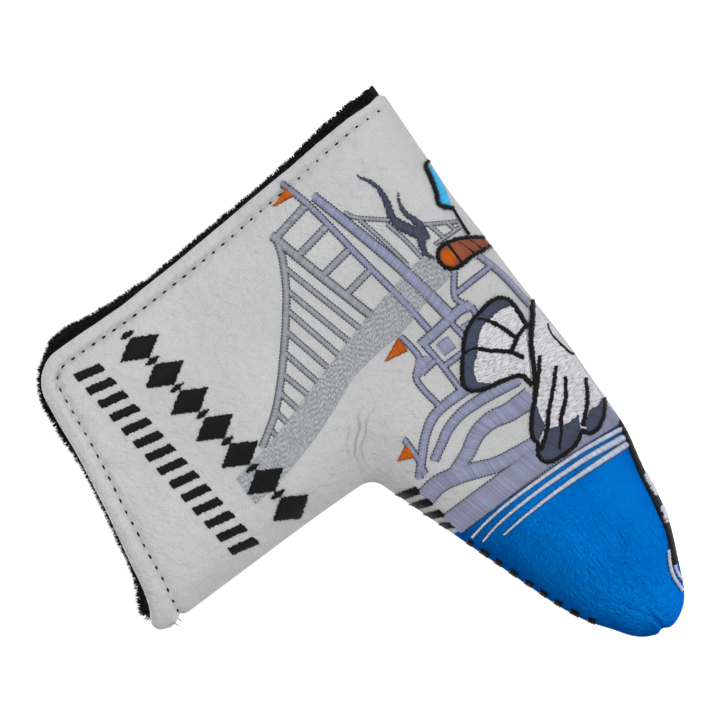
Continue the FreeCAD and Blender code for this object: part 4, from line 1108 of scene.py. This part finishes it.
STRUTS = [((23.6, 40.2), (25, 31.5)), ((31.9, 42), (33.2, 32.6)), ((40.4, 44), (41.9, 33.8)),
          ((47.8, 46), (49.4, 35.2))]
PIER = [[(20, 22.1), (29, 23.4), (38, 25.2)], [(19, 17.8), (25.6, 18.4), (32.5, 19.8)],
        [(32.8, 18.4), (39, 25.6), (42, 27.2)], [(20, 9.6), (25.6, 10.6)], [(19.8, 5.9), (23, 6.2)],
        [(19.8, 12.6), (19.5, 4)], [(26.2, 11.6), (21.2, 3.8)]]
# harbour: two rails, the house's lines and windows, the quay
UPPER_RAIL = [(1.4, 28.1), (10, 28.8), (20, 30), (30, 31.4), (40, 32.6), (50, 34.2), (57.7, 36.4)]
LOWER_RAIL = [(1.6, 21.3), (10, 22.4), (20, 24), (30, 26.2), (40, 28.7), (50, 31.4)]
HOUSE = [[(-17.5, 38.3), (-8, 39), (-3.6, 34.8), (4.6, 35.4)], [(-17.4, 31), (-9, 31), (-0.8, 31.6)],
         [(-9.6, 31), (-9.6, 21)], [(-7.4, 36.8), (-6.8, 32)], [(-9.4, 21.2), (-1, 22)],
         [(-5.4, 15.6), (-0.8, 14.8)], [(1.6, 16.2), (4.6, 16.9), (10.4, 12.8)], [(5, 16), (5.3, 4.6)]]
COLUMN = [(-0.8, 32.2), (-0.4, 27), (0.2, 22), (0.6, 18), (-0.2, 14.8)]
QUAY = [[(-10, 2), (1, 2.9), (9.8, 5)], [(-30, 52.6), (-26, 51.7), (-19, 51.5)]]
WINDOWS = [[(-7.5, 25), (-3.2, 25), (-3.2, 29), (-7.5, 29)],
           [(-6.6, 17.4), (-3, 17.6), (-3, 20.6), (-7, 20.4)]]
HOUSE_BLOCK = [(-2.8, 35.6), (-3.7, 33.3), (-6.2, 32.2), (-8.3, 38.1), (-6.7, 39.3)]
# waves and toe stripes: line, width at its start, width at its end
WAVES = [(curve([(-35.3, 56), (-34.6, 51), (-36, 45), (-38, 40), (-40, 34.4), (-41.4, 23)]), 5.4, 3.6),
         (curve([(-34.6, 46), (-32.6, 40), (-29.8, 34.6), (-29.2, 29), (-30.3, 24), (-30.6, 16.6)]),
          3.4, 5.8),
         (curve([(-30, 54.6), (-26.2, 50.8), (-22.4, 47), (-19.4, 42.6), (-18.2, 37.6), (-18.2, 28.4)]),
          2.2, 3.0),
         (curve([(-28.6, 48.4), (-26.6, 44.8), (-24, 40), (-22.8, 35), (-22.8, 30), (-23.3, 24.4),
                 (-24.4, 17)]), 2.4, 3.6)]
BAND = [(-45.8, 55), (-45.6, 40), (-45.7, 25), (-46.8, 12), (-48, 1)]
STRIPES = [(curve([(-56.5, 45.2), (-55.8, 37), (-55.6, 25), (-56.2, 12), (-56.9, 2.4)]), 0.7, 2.1),
           (curve([(-54.6, 50.8), (-53.1, 44), (-52.5, 31.6), (-53.1, 15.4), (-54.9, 2.2)]), 0.7, 2.1),
           (curve([(-51.9, 52.6), (-50.6, 45.2), (-50.1, 34), (-50.7, 15.4), (-52.6, 1.6)]), 0.9, 1.6)]
RIPPLES = [(curve([(-97.5, 16), (-93.5, 15.4), (-90, 13.6), (-87.2, 11.6)]), 1.2, 0.9),
           (curve([(-96, 14), (-93, 13.7), (-90.2, 12.2)]), 1.0, 0.8)]
# pennants, and the gull's wings with their feathers
PENNANTS = [[(-25, 51.8), (-20.3, 51.8), (-22.8, 56.8)], [(0, 36.2), (4.8, 36.2), (1.5, 43.4)]]
FLAP_PENNANT = [(53.2, 35.8), (56.2, 36.2), (54.4, 42.6)]
FAN_POINTS = [(-28, 14.6), (-24.4, 15.3), (-23.1, 17.8), (-21.9, 22.4), (-20.3, 27.4), (-18.4, 29.2),
                  (-16.2, 29.2), (-13.1, 27.1), (-9.7, 24.3), (-6.2, 20.9), (-4.4, 17.7), (-3.4, 14),
                  (-2.9, 9.9), (-3.9, 7.1), (-6.6, 5.7), (-10.6, 5.9), (-13.4, 6.2)]
WING_FAN = curve(FAN_POINTS)
LONG_POINTS = [(-9.6, 0.8), (-13.8, 4), (-16.9, 6.8), (-20, 9), (-26.2, 12.4), (-29.4, 14.3), (-32.5, 17.1),
                   (-35, 19.6), (-37.8, 21.8), (-40.3, 23), (-42.2, 22.8), (-43.8, 24.2), (-45.9, 24.7),
                   (-48, 23), (-48.5, 18.7), (-48.5, 15.6), (-47.6, 13), (-46.2, 11), (-47.8, 10.2),
                   (-48.6, 8.4), (-47.9, 5.8), (-46.2, 3.4), (-43.1, 1)]
WING_LONG = curve(LONG_POINTS)
# slate tips: a stretch of the wing's outline, closed on its inner side
FAN_TIP = curve(FAN_POINTS[3:15]) + curve([(-7.4, 6.4), (-6.6, 9), (-6.9, 12.8), (-7.5, 15.9), (-9.7, 18.8),
                                           (-12.5, 21.4), (-15.3, 24.6), (-18.6, 25.8)])
LONG_TIPS = [LONG_POINTS[11:18] + [(-42.2, 9.2), (-42.3, 13), (-40.7, 17), (-40.7, 18.8)],
             [(-42, 22.6), (-40.3, 23), (-37.8, 21.8), (-33.8, 18.6), (-31.9, 16.3), (-34.4, 17.1),
              (-37.5, 17.8), (-39.7, 18.2)],
             [(-47.8, 10.2), (-45.2, 9.6), (-42.8, 6.2), (-43.4, 4), (-42.4, 1), (-46.2, 3.4), (-47.9, 5.8),
              (-48.6, 8.4)]]
FEATHERS = [[(-46.6, 19), (-43.4, 15.9), (-40, 13.4), (-36.6, 9.6), (-31.9, 6.3)],
            [(-44, 23.2), (-40.6, 18.7), (-36.6, 15.2), (-32.5, 10.9), (-28, 6.7)],
            [(-30.6, 15.2), (-26.2, 11.1), (-23, 8.6)], [(-45.4, 10), (-42.5, 6.8), (-39.4, 4.3), (-35.6, 2)],
            [(-20.6, 12.1), (-16.9, 14.3), (-13.4, 18.4), (-10.6, 20.9), (-10.1, 23.8)],
            [(-14.7, 10.6), (-10.6, 11.8), (-6.9, 13.4), (-4.6, 15.4)],
            [(-17.4, 13.6), (-15.6, 10.9), (-14.4, 7.8), (-14.2, 4.8)]]
# small things by the sole's fold
SHORT_LINES = [[(-28.2, 0.9), (-27.2, 1.6), (-20.6, 2.6), (-17.3, 1.7)],
               [(16.4, 3.7), (20, 3.4), (24.4, 2.7)], [(11.4, 5.8), (16.2, 7.2)], [(11.2, 3.6), (15.2, 4.7)]]
BOLLARD = curve([(10, 1), (10.8, 6.5), (10.8, 11.4), (12.2, 13.6), (15, 14.4), (17.7, 13), (18.1, 10.2),
                 (16.9, 6.5), (14.4, 2.8), (13.2, 1)])
BOLLARD_TOP = curve([(11.7, 11.6), (12.3, 13), (14.4, 13.7), (16.6, 13.2), (17.5, 11.9), (16.4, 10.7),
                     (14.3, 10.4), (12.5, 10.6), (11.7, 11.6)])
BOLLARD_BAND = [(11, 9.9), (17.8, 9.9)]
WISPS = [(curve([(16.9, 15.2), (19.4, 16.3), (21.9, 15.6), (24, 14.4), (26.2, 14.6)]), 0.9, 3.0),
         (curve([(25.4, 14.4), (28.8, 16.4), (31.9, 17.6), (35, 17.1), (38.1, 16.2), (41.2, 15.9),
                 (44.4, 16.8), (47.2, 18.5)]), 3.5, 0.5),
         (curve([(22.5, 14), (25.6, 12.8), (28.8, 13.1), (31.9, 14), (35, 13.8), (37.3, 12.4)]), 3.0, 0.4)]
BLUE_FLAG = [(25.4, 2.4), (28.1, 4.4), (35.6, 2.2), (38.2, 1.6), (38.2, 0.6), (31.1, 0.6)]
FLAG_EDGE = curve([(25, 2.5), (28, 4.9), (31.1, 3.8), (35.4, 2.6), (38.8, 2.1), (39.6, 0.6)])
SOLE_LINE = curve([(-91.2, 12.4), (-84, 8.4), (-78, 6.4), (-70, 3.9), (-62, 1.9), (-54, 0.8), (-50.6, 0.5)])
SOLE_PATCHES = [[(-80.6, 6.8), (-76.2, 5.2)], [(-72.8, 4.2), (-66.4, 2.4)]]
TOP_EDGE = curve([(-52, 54.9), (-60, 52.2), (-72, 47.8), (-82, 43.4), (-92, 37.8)])
# cells of the rows, 0..1 across and up; a row is where it starts and ends, its heights and its count
DIAMOND = [(-0.03, 0.5), (0.36, 0.0), (0.75, 0.5), (0.36, 1.0)]
STUD = [(0.76, 0.5), (0.86, 0.3), (0.96, 0.5), (0.86, 0.7)]
TWIST = [(0.05, 0.0), (0.6, 0.0), (0.95, 1.0), (0.4, 1.0)]
LARGE_ROW = ((-19, 81.2), (51.3, 88.8), (12.4, 13.4), 7)
SMALL_ROW = ((-18.5, 100.6), (50, 106.4), (7.6, 7.6), 14)
TOE_ROW = ((-47.5, 54.2), (-29.5, 57.0), (2.4, 5.8), 4)
UPRIGHT = math.pi / 2


def row_of(cell, low, high, heights, count):
    """The cell's outline (0..1 across and up) repeated along the line from low to high."""
    shapes = []
    for n in range(count):
        outline = []
        for u, v in cell:
            t = (n + u) / count
            height = heights[0] + (heights[1] - heights[0]) * t
            outline.append((low[0] + (high[0] - low[0]) * t, low[1] + (high[1] - low[1]) * t + height * v))
        shapes.append(outline)
    return shapes


def edge_blocks(line, count, deep):
    """Small blocks that sit over the edge along a line, deep millimetres in."""
    blocks = []
    for n in range(count):
        ax, az = line[int((n + 0.1) / count * (len(line) - 1))]
        bx, bz = line[int((n + 0.6) / count * (len(line) - 1))]
        span = math.hypot(bx - ax, bz - az)
        inx, inz = -(bz - az) / span, (bx - ax) / span
        out = float(seam_distance(np.array([(ax + bx) / 2]), np.array([(az + bz) / 2]))[0]) - EDGE_CLEAR
        blocks.append([(x + inx * d, z + inz * d) for x, z, d in ((ax, az, -out), (bx, bz, -out),
                                                                 (bx, bz, deep - out), (ax, az, deep - out))])
    return blocks


def sew(name, look, nodes, parts, side=-1, shift=None, **settings):
    """One piece of embroidery; each part is a way to stitch, its outlines or lines, and how."""
    stitches = Stitches(side, shift)
    for way, shapes, options in parts:
        for shape in shapes:
            getattr(stitches, way)(shape, **options)
    stitches.build(name, LOOKS[look], nodes, **settings)


def tapered(lines):
    """Parts for satin lines that each have a width at either end."""
    return [("satin", [line], {"width": width, "end_width": end_width}) for line, width, end_width in lines]


def sea_and_toe(side, prefix):
    """The waves, the border band and the toe's stripes, which both sides carry."""
    at_back = side > 0
    sew(prefix + "wave_stitches", "lavender", [prefix + "waves"], tapered(WAVES), side, bordered=True)
    sew(prefix + "border_band_stitches", "lavender", ["back_band" if at_back else "border_band"],
        tapered([(curve(BAND), 7.2, 6.8)]), side, bordered=True)
    sew(prefix + "stripe_stitches", "silver", ["back_stripes" if at_back else "toe_stripes"],
        tapered(STRIPES if at_back else STRIPES + RIPPLES), side, bordered=True)


def rope(side, name, nodes, flap):
    """The row of twist cells below the mouth."""
    parts = [("block", row_of(TWIST, *SMALL_ROW), {"angle": 0.0, "ragged": 0.22})]
    sew(name, "black", nodes, parts, side, shift=0.0, flap=flap)


def scenery():
    """The bridge, the harbour and the pennants, which run on over the front flap."""
    flap = "front_flap"
    sew("bridge_road_stitches", "grey", ["bridge", "flap_bridge"],
        [("fill", [curve(BRIDGE_LEFT) + curve(BRIDGE_RIGHT)],
          {"angle": math.radians(-28), "pitch": 0.25, "stitch": 1.5})], flap=flap, dark_ends=0.55)
    sew("bridge_stitches", "steel", ["bridge", "flap_bridge"],
        [("satin", map(curve, HANGERS), {"width": 1.5, "slant": 0.5}),
         ("satin", map(curve, STRUTS), {"width": 2.0, "slant": 0.5}),
         ("satin", map(curve, PIER), {"width": 1.1, "slant": 0.5}),
         ("satin", [CABLE], {"width": 2.0}),
         ("satin", [curve(CHORD)], {"width": 2.4, "rise": 0.1})], flap=flap, bordered=True)
    sew("harbour_stitches", "lavender", ["harbour", "flap_harbour"],
        [("satin", [curve(UPPER_RAIL)], {"width": 1.8, "rise": 0.12}),
         ("satin", [curve(LOWER_RAIL)], {"width": 3.5, "end_width": 2.5, "rise": 0.14}),
         ("satin", map(curve, HOUSE + QUAY), {"width": 1.7, "rise": 0.1}),
         ("satin", [curve(COLUMN)], {"width": 3.0, "rise": 0.16}),
         ("block", WINDOWS + [HOUSE_BLOCK], {"angle": 0.0})], flap=flap, bordered=True)
    sea_and_toe(-1, "")
    sew("pennant_stitches", "orange", ["pennants", "flap_pennants"],
        [("block", PENNANTS + [FLAP_PENNANT], {"angle": 0.0, "rise": 0.12})], flap=flap)


def sole_art():
    """The gull's wings, the bollard, the flag and the wisps above the sole's fold."""
    sew("gull_wing_stitches", "white_thread", ["gull_white_wings"],
        [("fill", [WING_FAN, WING_LONG], {"angle": math.radians(88), "rise": 0.22})], dark_ends=0.4)
    sew("wing_tip_stitches", "slate", ["gull_slate_tips"],
        [("block", [FAN_TIP] + LONG_TIPS, {"angle": math.radians(35), "rise": 0.34, "arch": 0.2})])
    sew("outline_stitches", "black", ["gull_outline"],
        [("satin", [WING_FAN, WING_LONG], {"width": 1.5, "rise": 0.42, "ragged": 0.2}),
         ("satin", map(curve, FEATHERS), {"width": 1.5, "end_width": 1.2, "rise": 0.42, "ragged": 0.2}),
         ("satin", map(curve, SHORT_LINES), {"width": 0.8, "end_width": 0.5, "rise": 0.36}),
         ("satin", [BOLLARD], {"width": 1.5, "rise": 0.36, "ragged": 0.2}),
         ("satin", [curve(BOLLARD_BAND)], {"width": 1.1, "rise": 0.4}),
         ("satin", [FLAG_EDGE], {"width": 1.3, "rise": 0.3, "ragged": 0.2})])
    for name, look, node, outline, angle, rise in (
            ("bollard_stitches", "brown", "bollard", BOLLARD, math.radians(8), 0.2),
            ("bollard_top_stitches", "orange", "bollard_top", BOLLARD_TOP, 0.0, 0.42),
            ("blue_flag_stitches", "sky", "blue_flag", BLUE_FLAG, UPRIGHT, 0.15)):
        sew(name, look, [node], [("block", [outline], {"angle": angle, "rise": rise})])
    wisps = [(way, lines, {**options, "rise": 0.2, "ragged": 0.3}) for way, lines, options in tapered(WISPS)]
    sew("wisp_stitches", "slate", ["wisps"], wisps, flap="front_flap")


def patterns():
    """The dark rows across the neck and the blocks and cords along the toe's edges."""
    cells = row_of(DIAMOND, *LARGE_ROW) + row_of(STUD, *LARGE_ROW)
    sew("large_pattern_stitches", "black", ["large_pattern", "flap_large_pattern"],
        [("block", cells, {"angle": 0.1, "rise": 0.22, "ragged": 0.28})], shift=0.0, flap="front_flap")
    rope(-1, "small_pattern_stitches", ["small_pattern", "flap_small_pattern"], "front_flap")
    blocks = row_of(TWIST, *TOE_ROW) + edge_blocks(TOP_EDGE, 9, 1.25)
    sew("toe_pattern_stitches", "black", ["toe_pattern"],
        [("block", blocks, {"angle": UPRIGHT, "rise": 0.2})])
    sew("sole_line_stitches", "black", ["sole_line"],
        [("satin", [SOLE_LINE], {"width": 2.2, "end_width": 2.4, "rise": 0.1})])
    sew("sole_patch_stitches", "white_thread", ["sole_patches"],
        [("satin", map(curve, SOLE_PATCHES), {"width": 2.2, "rise": 0.34, "ragged": 0.3})])


# top-stitches: half a hole's length, and the share of the pitch left bare at each end of a thread
HOLE_HALF = 0.58
THREAD_GAP = 0.12


def hem_stitches(side, title, nodes):
    """The top-stitches along the slit and the mouth: short black pieces as painted shade in the needle holes,
    and pale thread from one to the next.
    """
    plan = np.array(open_outline(0.0, 0.0))
    inward = inward_normals(sewn_outline(0.0, 0.0) + open_outline(0.0, 0.0))[-len(plan):]
    row = hem_inset(plan[:, 0], plan[:, 1])
    line = plan + inward * row[:, None]
    edge = open_distance(line[:, 0], line[:, 1])
    good = (edge > 0.97 * row) & (line[:, 1] > HEM_LOW_Z) & (seam_distance(line[:, 0], line[:, 1]) > 0.7)
    places, run, _ = spaced(line[good], STITCH_PITCH)
    threads, hole_shades = Stitches(side, 0.0), Stitches(side, 0.0)
    # painted shade: a short black piece over each needle hole stands for the shade inside it
    for (x, z), (rx, rz) in zip(places, run):
        half = HOLE_HALF + RANDOM.uniform(-0.1, 0.1)
        tilt = RANDOM.uniform(-0.1, 0.1)
        hole_shades.add((x - rx * half + rz * tilt, z - rz * half - rx * tilt),
                  (x + rx * half - rz * tilt, z + rz * half + rx * tilt), 0.12, 0.12)
    for a, b in zip(places, places[1:]):
        if math.dist(a, b) < 1.4 * STITCH_PITCH:
            threads.add(a + (b - a) * THREAD_GAP, b + (a - b) * THREAD_GAP, 0.0, 0.1)
    threads.build(title + "_hem_thread", LOOKS["hem"], nodes, width=0.62, height=0.24,
                  flap=title + "_flap", dip=0.2)
    hole_shades.build(title + "_hem_hole_shade", LOOKS["black"], nodes, width=0.62, height=0.22,
                flap=title + "_flap", dip=0.1)


def thread_tails():
    """Loose ends of the seam's thread at the neck's inner corner."""
    base = np.array([(-21.5, -1.6, 131.2), (-21.8, -1.0, 132.8)])
    way = np.array([(-1, -0.1, -0.12), (-1, 0.1, -0.16)])
    spikes("seam_thread_tails", base, way, LOOKS["hem"], "front_flap", 2.0, 5, stray=0.05)


scenery()
sole_art()
patterns()
sea_and_toe(1, "back_")
rope(1, "back_pattern_stitches", ["back_pattern", "flap_back_pattern"], "back_flap")
for face, title in ((-1, "front"), (1, "back")):
    hem_stitches(face, title, [title + "_hem_stitches", title + "_flap_stitches"])
thread_tails()


# ------------------------------------------------------------------ floor, light and camera
# strength of the sky's light and of the sky as the camera sees it, and the floor's glow likewise
SKY_LIGHT = 0.41
SKY_SEEN = 1.05
FLOOR_GLOW = 0.72
FLOOR_SEEN = 0.93
# lamps: name, place, size, power
LAMPS = [("key", (0.6, -0.9, 0.4), 0.45, 5.5), ("fill", (-0.8, -0.7, 0.05), 0.8, 2.6),
         ("top", (-0.78, -0.28, 0.8), 0.7, 1.9), ("back", (0.4, 0.9, 0.7), 0.7, 6.5)]


def studio():
    """A bright white sweep: what the camera sees directly is brighter than the light it gives."""
    floor = Material("floor", (0.8, 0.8, 0.8), 0.9, Emission_Color=(1, 1, 1, 1))
    floor.use("Base Color", floor.mix(floor.noise(400), (0.79, 0.79, 0.79), (0.81, 0.81, 0.81)))
    seen = floor.node("LightPath").outputs["Is Camera Ray"]
    floor.use("Emission Strength", floor.ramp(seen, 0.0, 1.0, FLOOR_GLOW, FLOOR_SEEN))
    bpy.ops.mesh.primitive_plane_add(size=12)
    plane = bpy.context.object
    plane.name = "floor"
    plane.location.z = -HEEL_SAG * MM
    plane.data.materials.append(floor.material)
    world = bpy.data.worlds.new("studio")
    world.use_nodes = True
    sky = world.node_tree.nodes["Background"]
    sky.inputs["Color"].default_value = (1, 1, 1, 1)
    path = world.node_tree.nodes.new("ShaderNodeLightPath")
    level = world.node_tree.nodes.new("ShaderNodeMapRange")
    level.inputs["To Min"].default_value = SKY_LIGHT
    level.inputs["To Max"].default_value = SKY_SEEN
    world.node_tree.links.new(path.outputs["Is Camera Ray"], level.inputs["Value"])
    world.node_tree.links.new(level.outputs["Result"], sky.inputs["Strength"])
    bpy.context.scene.world = world
    for name, place, size, power in LAMPS:
        light = bpy.data.lights.new(name, "AREA")
        light.size = size
        light.energy = power
        lamp = bpy.data.objects.new(name, light)
        lamp.location = place
        lamp.rotation_euler = (Vector((0, 0, 0.05)) - Vector(place)).to_track_quat("-Z", "Y").to_euler()
        bpy.context.scene.collection.objects.link(lamp)


# the camera's place and sideways and upward directions, its distance, and the width it shows there
EYE_XZ = (0.0057, 0.0482)
EYE_RIGHT = (-0.599, 0, -0.8007)
EYE_UP = (0.8007, 0, -0.599)
EYE_DISTANCE = 3.0
SHOWN = 0.1991


def camera():
    """Square to the front panel, rolled so that the sole's fold runs down to the right."""
    lens = bpy.data.cameras.new("camera")
    lens.sensor_width = 36
    lens.lens = lens.sensor_width * EYE_DISTANCE / SHOWN
    eye = bpy.data.objects.new("camera", lens)
    right = Vector(EYE_RIGHT).normalized()
    up = Vector(EYE_UP).normalized()
    back = right.cross(up)
    turn = [[right[n], up[n], back[n]] for n in range(3)]
    eye.matrix_world = Matrix.Translation((EYE_XZ[0], -EYE_DISTANCE, EYE_XZ[1])) @ Matrix(turn).to_4x4()
    bpy.context.scene.collection.objects.link(eye)
    bpy.context.scene.camera = eye


studio()
camera()
bpy.context.scene.view_settings.view_transform = "Standard"
